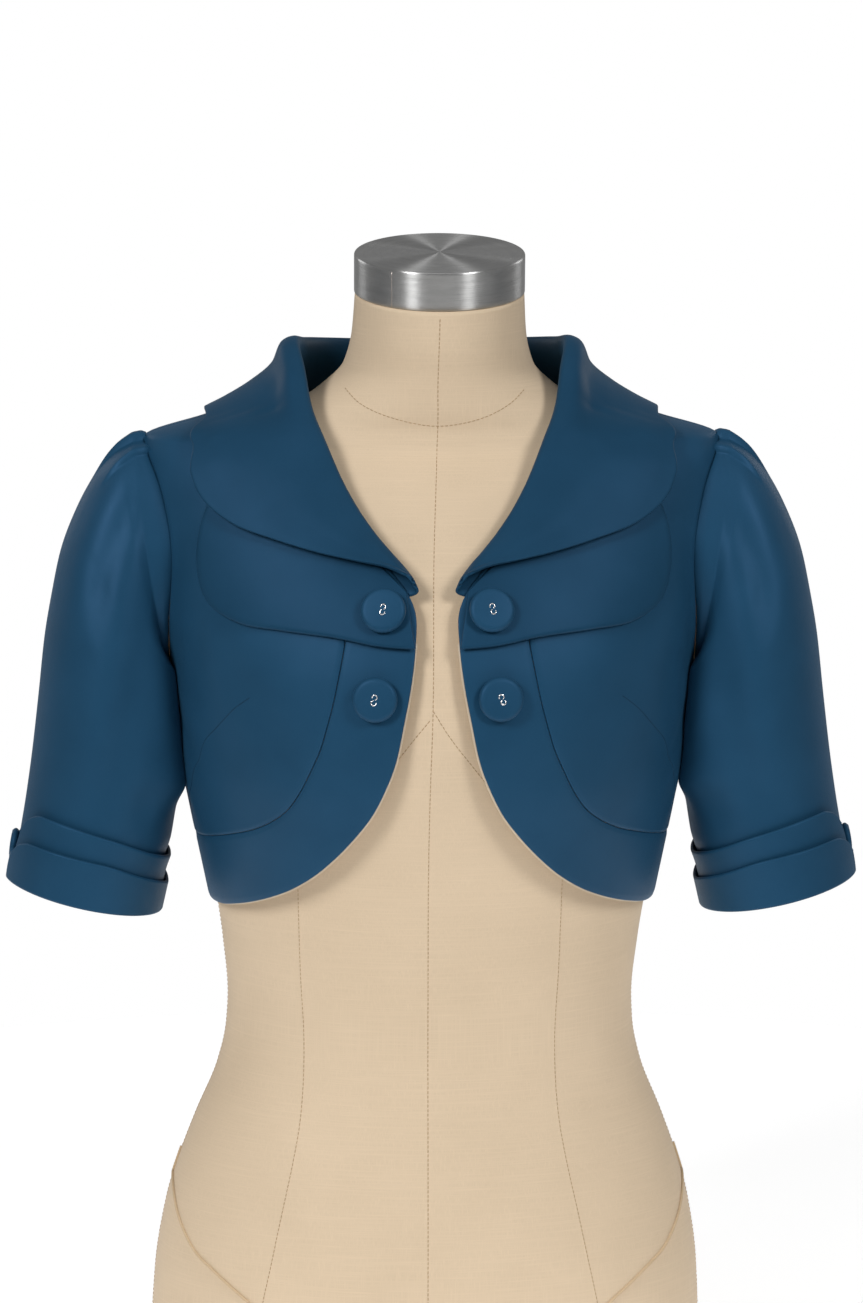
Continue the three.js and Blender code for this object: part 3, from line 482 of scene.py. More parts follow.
# A thin closed shell behind a grid of points, with rounded rims. Rows run upwards and
# (next column) x (next row) points out; a ring joins its last column to its first.
# The grid is the left one, mirrored where side is -1.
def shell(name, grid, normals, wall, rim, side=1, ring=False):
    if side < 0:
        grid, normals = grid[:, ::-1] * [-1, 1, 1], normals[:, ::-1] * [-1, 1, 1]
    rows, columns = grid.shape[:2]
    count = rows * columns
    across = np.linalg.norm(np.diff(grid, axis=1), axis=2).mean(0)
    along = np.linalg.norm(np.diff(grid, axis=0), axis=2).mean(1)
    u = np.concatenate([[0], np.cumsum(across)])
    v = np.concatenate([[0], np.cumsum(along)])
    grid_uv = np.stack(np.broadcast_arrays(u[None, :], v[:, None]), -1).reshape(-1, 2)
    points = [grid.reshape(-1, 3), (grid - normals * wall).reshape(-1, 3)]
    uv = [grid_uv, grid_uv]
    index = np.arange(count).reshape(rows, columns)
    if ring:
        here, beside = index, np.roll(index, -1, axis=1)
        borders = [index[0], index[-1, ::-1]]
    else:
        here, beside = index[:, :-1], index[:, 1:]
        borders = [np.concatenate([index[0], index[1:, -1], index[-1, -2::-1], index[-2:0:-1, 0]])]
    quads = np.stack([here[:-1], beside[:-1], beside[1:], here[1:]], -1).reshape(-1, 4)
    faces = quads.tolist()
    out = outwards(grid, ring)
    base = 2 * count
    for at in borders:
        start, end = points[0][at], points[1][at]
        middle, spoke = (start + end) / 2, (start - end) / 2
        layers = [at]
        for step in range(1, RIM_STEPS):
            angle = math.pi * step / RIM_STEPS
            points.append(middle + spoke * math.cos(angle) + out[at] * rim * math.sin(angle))
            uv.append(grid_uv[at])
            layers.append(np.arange(base, base + len(at)))
            base += len(at)
        layers.append(count + at)
        for last, this in zip(layers, layers[1:]):
            faces += np.stack([np.roll(last, -1), last, this, np.roll(this, -1)], -1).tolist()
    inside = (count + quads[:, [0, 3, 2, 1]]).tolist()
    return new_object(name, np.vstack(points), faces + inside, np.vstack(uv), len(faces))


# Materials

def shader(name, color, roughness, metallic=0.0, specular=0.5, sheen=0.0, sheen_tint=None):
    material = bpy.data.materials.new(name)
    material.use_nodes = True
    tree = material.node_tree
    surface = tree.nodes["Principled BSDF"]
    surface.inputs["Base Color"].default_value = (*color, 1)
    surface.inputs["Roughness"].default_value = roughness
    surface.inputs["Metallic"].default_value = metallic
    surface.inputs["Specular IOR Level"].default_value = specular
    surface.inputs["Sheen Weight"].default_value = sheen
    surface.inputs["Sheen Roughness"].default_value = 0.4
    if sheen_tint:
        surface.inputs["Sheen Tint"].default_value = (*sheen_tint, 1)
    return material, tree, surface


def node(tree, kind, **inputs):
    made = tree.nodes.new(kind)
    for name, value in inputs.items():
        made.inputs[name.replace("_", " ")].default_value = value
    return made


# Coordinates in metres, stretched by a factor along each axis
def coordinates(tree, output, scale):
    source = tree.nodes.new("ShaderNodeTexCoord")
    mapping = tree.nodes.new("ShaderNodeMapping")
    mapping.inputs["Scale"].default_value = scale
    tree.links.new(source.outputs[output], mapping.inputs["Vector"])
    return mapping.outputs["Vector"]


def noise(tree, vector, scale, detail=2.0, roughness=0.5):
    made = node(tree, "ShaderNodeTexNoise", Scale=scale, Detail=detail, Roughness=roughness)
    tree.links.new(vector, made.inputs["Vector"])
    return made.outputs["Fac"]


def threads(tree, vector, scale, direction):
    made = node(tree, "ShaderNodeTexWave", Scale=scale, Distortion=1.2)
    made.bands_direction = direction
    made.inputs["Detail"].default_value = 1.0
    made.inputs["Detail Scale"].default_value = 0.4
    tree.links.new(vector, made.inputs["Vector"])
    return made.outputs["Fac"]


def math_node(tree, operation, first, second):
    made = tree.nodes.new("ShaderNodeMath")
    made.operation = operation
    for socket, value in zip(made.inputs, (first, second)):
        if isinstance(value, (int, float)):
            socket.default_value = value
        else:
            tree.links.new(value, socket)
    return made.outputs["Value"]


def add_bumps(tree, surface, layers):
    normal = None
    for height, strength, distance in layers:
        bump = node(tree, "ShaderNodeBump", Strength=strength, Distance=distance)
        tree.links.new(height, bump.inputs["Height"])
        if normal is not None:
            tree.links.new(normal, bump.inputs["Normal"])
        normal = bump.outputs["Normal"]
    tree.links.new(normal, surface.inputs["Normal"])


def mix_color(tree, factor, low, high):
    made = tree.nodes.new("ShaderNodeMix")
    made.data_type = "RGBA"
    made.inputs["A"].default_value = (*low, 1)
    made.inputs["B"].default_value = (*high, 1)
    tree.links.new(factor, made.inputs["Factor"])
    return made.outputs["Result"]


def spread(tree, value, low, high):
    made = node(tree, "ShaderNodeMapRange", From_Min=0.3, From_Max=0.7, To_Min=low, To_Max=high)
    tree.links.new(value, made.inputs["Value"])
    return made.outputs["Result"]


THREAD = 0.00032
LINEN_THREAD = 0.00055


# Stretch satin with its matt side out: a fine twill with a soft sheen
def cloth_material(name="jacket_cloth", source="UV", depth=1.0, specular=0.4):
    dark, light = (0.0085, 0.045, 0.090), (0.0125, 0.058, 0.115)
    # A depth below 1 darkens the cloth's colours: painted shade on the same fabric
    dark, light = tuple(depth * c for c in dark), tuple(depth * c for c in light)
    material, tree, surface = shader(
        name, light, 0.5, specular=specular, sheen=0.05, sheen_tint=(0.2, 0.5, 0.9)
    )
    surface.inputs["Specular Tint"].default_value = (0.22, 0.45, 0.85, 1)
    place = coordinates(tree, source, (1, 1, 1))
    object_place = coordinates(tree, "Object", (1, 1, 1))
    cloudy = noise(tree, object_place, 26, 3.0)
    specks = noise(tree, object_place, 1400, 2.0, 0.7)
    tone = math_node(tree, "ADD", math_node(tree, "MULTIPLY", cloudy, 0.55),
                     math_node(tree, "MULTIPLY", specks, 0.45))
    color = mix_color(tree, spread(tree, tone, 0, 1), dark, light)
    tree.links.new(color, surface.inputs["Base Color"])
    tree.links.new(spread(tree, specks, 0.42, 0.58), surface.inputs["Roughness"])
    warp = threads(tree, place, 1 / THREAD / 6.28, "X")
    weft = threads(tree, place, 1 / THREAD / 6.28, "DIAGONAL")
    weave = math_node(tree, "MAXIMUM", warp, math_node(tree, "MULTIPLY", weft, 0.7))
    add_bumps(tree, surface, [
        (noise(tree, object_place, 90, 3.0), 0.25, 0.0006),
        (weave, 0.16, 0.00005),
        (specks, 0.12, 0.00006),
    ])
    return material


def lining_material():
    material, tree, surface = shader("lining", (0.66, 0.55, 0.41), 0.42, sheen=0.1)
    place = coordinates(tree, "Object", (1, 1, 1))
    color = mix_color(tree, noise(tree, place, 40, 3.0), (0.58, 0.48, 0.35), (0.72, 0.61, 0.47))
    tree.links.new(color, surface.inputs["Base Color"])
    add_bumps(tree, surface, [(noise(tree, place, 600, 2.0), 0.15, 0.0001)])
    return material


# Linen: uneven threads both ways, with soft stains of tone
def linen_material(name="form_linen", light=(0.70, 0.555, 0.395), dark=(0.585, 0.46, 0.32)):
    material, tree, surface = shader(name, light, 0.82, specular=0.2, sheen=0.12)
    place = coordinates(tree, "Object", (1, 1, 1))
    warp = noise(tree, coordinates(tree, "Object", (1 / LINEN_THREAD, 1 / LINEN_THREAD, 28)), 1.0, 2.0)
    weft = noise(tree, coordinates(tree, "Object", (28, 28, 1 / LINEN_THREAD)), 1.0, 2.0)
    weave = math_node(tree, "MAXIMUM", warp, weft)
    cloudy = noise(tree, place, 9, 4.0)
    tone = math_node(tree, "ADD", math_node(tree, "MULTIPLY", weave, 0.5),
                     math_node(tree, "MULTIPLY", cloudy, 0.5))
    color = mix_color(tree, spread(tree, tone, 0, 1), dark, light)
    tree.links.new(color, surface.inputs["Base Color"])
    tree.links.new(spread(tree, weave, 0.88, 0.74), surface.inputs["Roughness"])
    add_bumps(tree, surface, [(weave, 0.22, 0.00016), (noise(tree, place, 60, 3.0), 0.2, 0.0005)])
    return material


# Brushed steel: fine lines round the axis, on the side and on the top alike
def steel_material(name, color, roughness):
    material, tree, surface = shader(name, color, roughness, metallic=1.0)
    around = noise(tree, coordinates(tree, "UV", (30, 5200, 1)), 1.0, 3.0, 0.7)
    broad = noise(tree, coordinates(tree, "UV", (60, 240, 1)), 1.0, 2.0)
    tree.links.new(spread(tree, around, roughness - 0.07, roughness + 0.1), surface.inputs["Roughness"])
    shade = mix_color(tree, spread(tree, broad, 0, 1), tuple(0.86 * c for c in color), color)
    tree.links.new(shade, surface.inputs["Base Color"])
    surface.inputs["Anisotropic"].default_value = 0.95
    surface.inputs["Anisotropic Rotation"].default_value = 0.25
    add_bumps(tree, surface, [(around, 0.25, 0.00003)])
    return material


CLOTH = cloth_material()
# A darker, less glossy copy of the jacket cloth for the collar and lapels: painted shade, as they are the
# same fabric as the body
SHADED_FACED_CLOTH = cloth_material("faced_cloth_painted_shade", depth=0.84, specular=0.26)
BUTTON_CLOTH = cloth_material("button_cloth", "Object")
LINING = lining_material()
LINEN = linen_material()
CORD = linen_material("form_cord", (0.62, 0.47, 0.31), (0.50, 0.37, 0.23))
THREAD_MATERIAL = linen_material("form_thread", (0.47, 0.33, 0.20), (0.38, 0.26, 0.15))
STEEL = steel_material("cap_steel", (0.48, 0.48, 0.475), 0.31)
LINK = steel_material("link_metal", (0.86, 0.86, 0.87), 0.14)


# Makes a piece part of the object: its materials, the body it rides on and what it stands for
def finish_piece(obj, materials, replaces=()):
    for material in materials:
        obj.data.materials.append(material)
    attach(obj, "root")
    if replaces:
        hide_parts(*replaces)
    return obj


# Pieces of the jacket's body

EDGE_DIP = 0.45
EDGE_REACH = 1.8
SEAM_RIM = 0.4
BAND_RIM = 0.6
HEM_RIM = 0.5
SLEEVE_RIM = 0.5
CUFF_RIM = 1.1
FACED_RIM = 1.0
PIECE_MARGIN = SEAM_RIM + 0.02


# Shares from 0 to 1 that are closer together at both ends
def eased(count, pull=0.55):
    share = np.linspace(0, 1, count)
    return share + pull * (smooth(share) - share)


def body_grid(start, end, columns, margin):
    (turn0, z0), (turn1, z1) = start, end
    length = np.linalg.norm(on_jacket(turn0, z0) - on_jacket(turn1, z1), axis=1)
    trim = np.minimum(margin / length, 0.3)[:, None]
    u = trim + (1 - 2 * trim) * eased(columns)[None, :]
    turn = turn0[:, None] + (turn1 - turn0)[:, None] * u
    z = z0[:, None] + (z1 - z0)[:, None] * u
    return turn, z, u


# How much the cloth sinks towards its seams, by the distance to each border
def edge_dip(points):
    rows, columns = points.shape[:2]
    across = np.cumsum(np.linalg.norm(np.diff(points, axis=1, prepend=points[:, :1]), axis=2), axis=1)
    along = np.cumsum(np.linalg.norm(np.diff(points, axis=0, prepend=points[:1]), axis=2), axis=0)
    nearest = np.minimum.reduce([across, across[:, -1:] - across, along, along[-1:] - along])
    return -EDGE_DIP * np.exp(-((nearest / EDGE_REACH) ** 2))


def places_on(points, shares, margin=SEAM_GAP / 2):
    line = line_through(points, shares)
    x, z = line[:, 0], line[:, 1]
    return np.minimum(turn_at(x, z), 90 - np.degrees(margin / x)), z


def body_piece(name, start, end, columns, wall, lift=None, side=1, folds=True, rim=SEAM_RIM,
               margin=PIECE_MARGIN, dip=True):
    turn, z, u = body_grid(start, end, columns, margin)
    height = np.zeros_like(u) if lift is None else lift(u)
    if folds:
        height = height + body_folds(turn * side, z)
    if dip:
        height = height + edge_dip(on_jacket(turn, z))
    return shell(name, on_jacket(turn, z, height), jacket_normal(turn, z), wall, rim, side)


SIDES = (("left", 1), ("right", -1))
SEAM_STRETCHES = 20
NECK_STRETCHES = 6
PANEL_ROWS = 120
NECK_ROWS_FINE = 36


def front_panels():
    seam_share = np.linspace(0, 1, PANEL_ROWS)
    neck_share = np.linspace(0, 1, NECK_ROWS_FINE + 1)[1:]
    seam = places_on(BAND_SEAM, seam_share)
    neck = places_on([BAND_SEAM[-1], *NECK_EDGE], neck_share)
    inner = tuple(np.concatenate(pair) for pair in zip(seam, neck))
    stretches = SEAM_STRETCHES + NECK_STRETCHES
    v = np.concatenate([seam_share * SEAM_STRETCHES, SEAM_STRETCHES + neck_share * NECK_STRETCHES])
    outer = outer_boundary(v / stretches, BAND_TOP_SIDE + PANEL_CORNER, NECK_POINT, True)
    for label, side in SIDES:
        obj = body_piece(f"front_panel_{label}_cloth", inner, outer, 64, PANEL_WALL, side=side)
        finish_piece(obj, (CLOTH, LINING), [f"front_panel_{label}"])


def front_bands():
    shares = np.linspace(0, 1, 200)
    edge, seam = places_on(FRONT_EDGE, shares), places_on(BAND_SEAM, shares)
    for label, side in SIDES:
        obj = body_piece(f"front_band_{label}_cloth", edge, seam, 30, PANEL_WALL, side=side,
                         rim=BAND_RIM, margin=SEAM_GAP / 2 + BAND_RIM)
        finish_piece(obj, (CLOTH, LINING), [f"front_band_{label}"])


def lining_strips():
    shares = np.linspace(0, 1, 160)
    points = FRONT_EDGE[:-5]
    here = line_through(points, shares)
    along = unit(line_through(points, shares + 0.01) - line_through(points, shares - 0.01))
    behind = -PANEL_WALL - LINING_BEHIND

    def shifted(distance):
        x, z = here[:, 0] + along[:, 1] * distance, here[:, 1] - along[:, 0] * distance
        return np.minimum(turn_at(x, z), 90 - np.degrees(SEAM_GAP / 2 / x)), z

    start, end = shifted(-LINING_SHOWS + LINING_WALL / 2), shifted(LINING_WIDTH)
    for label, side in SIDES:
        obj = body_piece(f"lining_edge_{label}_cloth", start, end, 8, LINING_WALL,
                         lift=lambda u: np.full_like(u, behind), side=side, folds=False,
                         dip=False, margin=0.0, rim=LINING_WALL / 2)
        finish_piece(obj, (LINING, LINING), [f"lining_edge_{label}"])


# A piece that crosses the back, from rows of its half width round the body and its heights
def back_piece(name, rows, columns, edge_turn, heights, rim=SEAM_RIM):
    share = eased(columns, 0.3) * 2 - 1
    gap = np.degrees(PIECE_MARGIN / 160)
    half = (180 - edge_turn - gap)[:, None]
    turn = 180 + share[None, :] * half
    z = heights(share[None, :])
    height = body_folds(turn, z) + edge_dip(on_jacket(turn, z))
    return shell(name, on_jacket(turn, z, height), jacket_normal(turn, z), PANEL_WALL, rim)


def back_panel():
    v = eased(130, 0.2)
    turn, z = outer_boundary(v, BAND_TOP_SIDE + SEAM_GAP + 0.2, NECK_POINT, False)
    low = (BAND_TOP_BACK - BAND_TOP_SIDE) * np.maximum(0, 1 - v / SIDE_SHARE)
    high = (NECK_BACK - NECK_POINT) * np.maximum(0, (v - ARMHOLE_SHARE) / (1 - ARMHOLE_SHARE))
    sag = (low + high)[:, None]
    obj = back_piece("back_cloth", v, 130, turn, lambda u: z[:, None] + sag * (1 - u * u))
    finish_piece(obj, (CLOTH, LINING), ["back"])


def hem_band_back():
    v = eased(26, 0.4)[:, None]

    def heights(u):
        hem = HEM_BACK + (HEM_SIDE - HEM_BACK) * u**2 + 0.6
        top = BAND_TOP_BACK + (BAND_TOP_SIDE - BAND_TOP_BACK) * u**2 - PIECE_MARGIN
        return hem + (top - hem) * v

    obj = back_piece("hem_band_back_cloth", v, 130, np.full(len(v), 90.0), heights, HEM_RIM)
    finish_piece(obj, (CLOTH, LINING), ["hem_band_back"])


def lower_lapels():
    shares = eased(110, 0.2)
    free, tuck = places_on(LAPEL_FREE, shares), places_on(LAPEL_TUCK, shares)

    for label, side in SIDES:
        uneven = 0.5 if side > 0 else 0.8

        def lift(u):
            rise = LAPEL_EDGE + (LAPEL_NEAR - LAPEL_EDGE) * u
            wave = uneven * np.sin(9 * shares[:, None] + side) * (1 - u) ** 2
            curl = -0.7 * np.exp(-((u / 0.03) ** 2))
            return rise + wave * smooth(shares / 0.2)[:, None] + curl

        obj = body_piece(f"lower_lapel_{label}_cloth", free, tuck, 60, FACED_WALL, lift=lift,
                         side=side, folds=False, dip=False, rim=FACED_RIM, margin=FACED_RIM)
        finish_piece(obj, (SHADED_FACED_CLOTH, SHADED_FACED_CLOTH), [f"lower_lapel_{label}"])


def collar_section(seam, roll, edge, fall_sizes, radius, places):
    lift, arch = fall_sizes
    to_seam, to_edge = seam - roll, edge - roll
    reach = min(ROLL_REACH, 0.4 * np.linalg.norm(to_seam), 0.4 * np.linalg.norm(to_edge))
    to_seam, to_edge = unit(to_seam), unit(to_edge)
    spread_out = unit(to_edge - to_seam)
    leg = roll + to_seam * reach - spread_out * radius
    turn = roll + to_edge * reach + spread_out * radius
    shares = np.array([0.3, 0.55, 0.8])
    fall = roll + (edge - roll) * shares[:, None]
    fall += spread_out * (arch * np.sin(np.pi * shares))[:, None]
    near = min(COLLAR_NEAR, lift)
    fall = raised(fall, near + (lift - near) * shares)
    knots = np.vstack([seam, leg, roll, turn, fall, edge])
    return line_through(knots, places)


def collar():
    shares = np.linspace(0, 1, 140)
    table = np.array(COLLAR, float)
    seam = line_through(table[:, 0:2], shares)
    roll = line_through(table[:, 2:5], shares)
    edge = line_through(table[:, 5:7], shares)
    falls = line_through(table[:, 7:9], shares)
    seams = on_jacket(seam[:, 0], seam[:, 1], COLLAR_LEG)
    edges = on_jacket(edge[:, 0], edge[:, 1], falls[:, 0])
    places = np.linspace(0, 1, 90)
    radii = ROLL_RADIUS * (0.3 + 0.7 * smooth((1 - shares) / 0.09))
    rows = zip(seams, roll, edges, falls, radii)
    half = np.array([collar_section(*row, places) for row in rows])
    grid = np.concatenate([(half[1:] * [-1, 1, 1])[::-1], half])
    normals = unit(np.cross(np.gradient(grid, axis=1), np.gradient(grid, axis=0)))
    obj = shell("collar_cloth", grid, normals, FACED_WALL, FACED_RIM)
    finish_piece(obj, (SHADED_FACED_CLOTH, SHADED_FACED_CLOTH), ["collar"])


# Sleeves and cuffs

def sleeves():
    turns = -np.linspace(-180, 180, 240, endpoint=False)[None, :]
    ups = np.concatenate([np.linspace(0, 236, 70), np.linspace(240, SLEEVE_TOP, 58)])[:, None]
    for label, side in SIDES:
        shift = 0 if side > 0 else 5
        lift = tuck_rise(turns, ups) + sleeve_folds(turns + shift, ups)
        lift = lift - HEAD_DIP * np.exp(-(((SLEEVE_TOP - ups) / EDGE_REACH) ** 2))
        normals = sleeve_normal(turns, ups)
        grid = on_sleeve(turns, ups) + normals * lift[..., None]
        obj = shell(f"sleeve_{label}_cloth", grid, normals, PANEL_WALL, SLEEVE_RIM, side, ring=True)
        finish_piece(obj, (CLOTH, LINING), [f"sleeve_{label}"])


def cuff(tier, label, side, columns=170, rows=22):
    sizes = CUFF_TIERS[tier]
    begin, end = NOTCH["back"] + 360, NOTCH["front"]
    even = 2 * np.linspace(0, 1, columns) - 1
    u = ((even * (1.45 - 0.45 * even * even) + 1) / 2)[None, :]
    v = eased(rows, 0.4)[:, None]
    nominal = begin + (end - begin) * u
    around = np.abs((nominal + 180) % 360 - 180)
    top = read(CUFF_TOPS, "turn", tier, around)
    from_end = np.minimum(begin - nominal, nominal - end) * MM_PER_DEGREE
    short = np.maximum(0, CUFF_CORNER - from_end)
    corner = CUFF_CORNER - np.sqrt(CUFF_CORNER**2 - short**2)
    height = sizes["bottom"] + (top - corner - sizes["bottom"]) * v
    spread_out = sizes["open"] * (height / top) ** 1.5
    turn = begin - spread_out + (end + 2 * spread_out - begin) * u
    rise = sizes["lift_bottom"] + (sizes["lift_top"] - sizes["lift_bottom"]) * v
    normals = sleeve_normal(turn, height)
    grid = on_sleeve(turn, height) + normals * rise[..., None]
    obj = shell(f"cuff_{tier}_{label}_cloth", grid, normals, CUFF_WALL, CUFF_RIM, side)
    finish_piece(obj, (CLOTH, CLOTH), [f"cuff_{tier}_{label}"])
    return obj


def cuffs():
    for label, side in SIDES:
        upper = cuff("upper", label, side)
        lower = cuff("lower", label, side)


# Buttons

# A turned shape: (radius, height) pairs about an axis through a point along a direction
def turned(name, profile, point, direction, columns=72):
    axis = Vector(direction).normalized()
    spin = Vector((0, 0, 1)).rotation_difference(axis).to_matrix()
    points, uv = [], []
    travelled = 0.0
    for k, (radius, height) in enumerate(profile):
        if k:
            before = profile[k - 1]
            travelled += math.hypot(radius - before[0], height - before[1])
        for i in range(columns):
            angle = 2 * math.pi * i / columns
            flat = Vector((radius * math.cos(angle), radius * math.sin(angle), height))
            points.append(Vector(point) + spin @ flat)
            uv.append((angle * 50, travelled))
    return new_object(name, points, skin(len(profile), columns), uv)


# Profile of a covered button: drawn-in base, full rim, nearly flat crown
def button_profile(radius, height):
    side = [(radius - 2.6, 0.0), (radius - 1.2, 0.1 * height), (radius - 0.25, 0.3 * height),
            (radius, 0.5 * height), (radius - 0.35, 0.68 * height), (radius - 1.1, 0.82 * height)]
    crown = [(radius * s, height * (1 - 0.115 * s * s)) for s in (0.84, 0.74, 0.6, 0.42, 0.22, 0.05)]
    return side + crown


# A wire ring seen from outside the button, open at one side
def wire_ring(centre, right, up, out, gap_at, columns=40, sides=10):
    points = []
    gap = math.radians(LINK_GAP)
    for i in range(columns):
        share = i / (columns - 1)
        angle = gap_at + gap + (2 * math.pi - 2 * gap) * share
        spoke = right * math.cos(angle) + up * math.sin(angle)
        sink = -1.0 * (2 * abs(share - 0.5)) ** 4
        for k in range(sides):
            turn = 2 * math.pi * k / sides
            points.append(centre + spoke * (LINK_RING + LINK_WIRE * math.cos(turn))
                          + out * (LINK_WIRE * math.sin(turn) + sink))
    return points, skin(columns, sides)


FRONT_BUTTON = dict(radius=14, height=6.5)
CUFF_BUTTON = dict(radius=9.5, height=5)
# Place and stand-off of each front button, with the tilt of its wire link to each side
FRONT_BUTTONS = [
    dict(name="button_top", x=32.5, z=548, lift=3.9, tilt=(10, -8)),
    dict(name="button_second", x=38, z=496.5, lift=0.3, tilt=(20, -10)),
]
CUFF_BUTTON_PLACE = dict(turn=0, up=19, lift=0.3)
LINK_RING = 1.5
LINK_WIRE = 0.42
LINK_STEP = 1.75
LINK_GAP = 16


def link(name, centre, out, tilt):
    out = Vector(out).normalized()
    up = Vector((0, 0, 1)) - out * out.z
    up.normalize()
    right = up.cross(out)
    lean = math.radians(tilt)
    axis = up * math.cos(lean) + right * math.sin(lean)
    side = axis.cross(out)
    rings = []
    for sign, gap_at in ((1, -0.65 * math.pi), (-1, 0.35 * math.pi)):
        middle = Vector(centre) + axis * (LINK_STEP * sign)
        rings.append(wire_ring(middle, side, axis, out, gap_at))
    finish_piece(joined(name, rings, uv=True), (LINK,))


def buttons():
    for row in FRONT_BUTTONS:
        turn = turn_at(row["x"], row["z"])
        base = on_jacket(turn, row["z"], row["lift"])
        out = jacket_normal(turn, row["z"])
        for (label, side), tilt in zip(SIDES, row["tilt"]):
            point, direction = base * [side, 1, 1], out * [side, 1, 1]
            name = f"{row['name']}_{label}"
            obj = turned(f"{name}_cloth", button_profile(**FRONT_BUTTON), point, direction)
            finish_piece(obj, (BUTTON_CLOTH,), [name])
            crown = point + direction * (FRONT_BUTTON["height"] + 0.15)
            link(f"{name}_link", crown, direction, -tilt)
    place = CUFF_BUTTON_PLACE
    seat = on_sleeve(place["turn"], place["up"])
    out = sleeve_normal(place["turn"], place["up"])
    base = seat + out * place["lift"]
    for label, side in SIDES:
        name = f"cuff_button_{label}"
        obj = turned(f"{name}_cloth", button_profile(**CUFF_BUTTON), base * [side, 1, 1],
                     out * [side, 1, 1], columns=56)
        finish_piece(obj, (BUTTON_CLOTH,), [name])


# Seams drawn by thread

# A thin tube along a path, closed at both ends
def tube(path, radius, sides=8, flat=1.0, out=None):
    path = np.asarray(path, float)
    along = unit(np.gradient(path, axis=0))
    out = unit(out - along * (out * along).sum(-1, keepdims=True))
    aside = np.cross(along, out)
    points = []
    for k in range(sides):
        angle = 2 * math.pi * k / sides
        points.append(path + aside * radius * math.cos(angle) + out * radius * flat * math.sin(angle))
    return np.stack(points, 1).reshape(-1, 3), skin(len(path), sides, inward=True)


# Several meshes as one object; uv gives it a map, all at one place
def joined(name, parts, uv=False):
    points, faces, base = [], [], 0
    for part_points, part_faces in parts:
        points.append(part_points)
        faces += [[base + k for k in face] for face in part_faces]
        base += len(part_points)
    points = np.vstack(points)
    return new_object(name, points, faces, np.zeros((base, 2)) if uv else None)


# Sewing on the jacket: the curved dart from the side to the bust, drawn as a thin dark tube sunk into the
# cloth, which paints the shade of the dart's fold
def painted_dart_shade_lines():
    line = line_through(BUST_DART, np.linspace(0, 1, 90))
    turn, z = turn_at(line[:, 0], line[:, 1]), line[:, 1]
    for label, side in SIDES:
        lift = body_folds(turn * side, z) - 0.12
        path, out = on_jacket(turn, z, lift) * [side, 1, 1], jacket_normal(turn, z) * [side, 1, 1]
        # The tube's dark colour is painted shade
        obj = joined(f"dart_{label}", [tube(path, 0.42, out=out, flat=0.6)])
        finish_piece(obj, (PAINTED_DART_SHADE,))


# Dress form

def lean_at(z):
    return LEAN["foot"] + (LEAN["neck"] - LEAN["foot"]) * np.asarray(z, float) / NECK_TOP


def on_form(turn, z, lift=0.0):
    turn, z = np.broadcast_arrays(np.asarray(turn, float), np.asarray(z, float))

    def place(turn, z):
        s, c = sine_cosine(turn)
        y = -np.where(c >= 0, form("front", z), form("back", z)) * c
        x = lean_at(z) + form("half", z) * s
        return np.stack([x, form("mid", z) + y, z + form("slope", z) * y], -1)

    point = place(turn, z)
    normal = unit(np.cross(place(turn + 0.5, z) - place(turn - 0.5, z),
                           place(turn, z + 0.5) - place(turn, z - 0.5)))
    return point + normal * np.asarray(lift, float)[..., None], normal


def dress_form(columns=200):
    heights = np.concatenate([[0, 2, 6], np.linspace(10, 640, 150), np.linspace(642.5, NECK_TOP, 50)])
    grid, _ = on_form(np.linspace(0, 360, columns, endpoint=False)[None, :], heights[:, None])
    obj = new_object("dress_form_linen", grid.reshape(-1, 3), skin(len(heights), columns))
    finish_piece(obj, (LINEN,), ["dress_form"])


# Seams of the form as (x, z) on its front, or as turns round it
CENTRE_SEAM = [(3.6, 731), (2.5, 684), (2.5, 656), (-1.3, 577), (-2.8, 488), (-4.5, 431), (-5.1, 378),
               (-4.9, 298), (-5.1, 203), (-5.4, 106), (-5.6, 2)]
PRINCESS = [(92, 636), (89, 600), (86, 560), (84, 520), (84, 480), (83, 430), (82.5, 367), (81.2, 311),
            (79.2, 270), (79.8, 240), (82, 216), (86.5, 191), (94, 157), (101, 124), (107, 95),
            (112, 50), (113, 2)]
PRINCESS_SHIFT = -3.5
NECK_SEAM = [(-55, 678.6), (-45.8, 670.4), (-24.1, 661.2), (2.6, 656.2), (28.8, 661), (47.8, 670.4),
             (57.6, 678.8)]
BUST_SEAM_LEFT = [(-2.8, 488), (7.6, 471.4), (18.7, 456.5), (29.3, 442.7), (46, 424), (64, 408), (84, 397)]
BUST_SEAM_RIGHT = [(-4.7, 482), (-13.9, 470.8), (-24.3, 457.2), (-40, 438), (-58, 416), (-88, 398)]
LEG_LINE = [(163.5, 181), (165, 173), (164.5, 160), (160.5, 143), (150.5, 126), (138, 116), (126, 107),
            (114, 98), (96, 82), (72, 58), (44, 26)]
STITCH = 2.3
STITCH_GAP = 0.55


def form_turn(x, z):
    return np.degrees(np.arcsin(np.clip((x - lean_at(z)) / form("half", z), -1, 1)))


def form_path(points, count, lift, back=False):
    line = line_through(points, np.linspace(0, 1, count))
    turn = form_turn(line[:, 0], line[:, 1])
    return on_form(180 - turn if back else turn, line[:, 1], lift)


# Short stitches along a path
def stitches(path, out, radius):
    travelled = np.concatenate([[0], np.cumsum(np.linalg.norm(np.diff(path, axis=0), axis=1))])
    parts = []
    start = 0.0
    while start + STITCH < travelled[-1]:
        at = np.linspace(start, start + STITCH, 4)
        points = np.stack([np.interp(at, travelled, path[:, k]) for k in range(3)], -1)
        normals = np.stack([np.interp(at, travelled, out[:, k]) for k in range(3)], -1)
        bow = np.array([-0.25, 0.1, 0.1, -0.25])[:, None] * normals
        parts.append(tube(points + bow, radius, sides=4, out=normals))
        start += STITCH + STITCH_GAP
    return parts


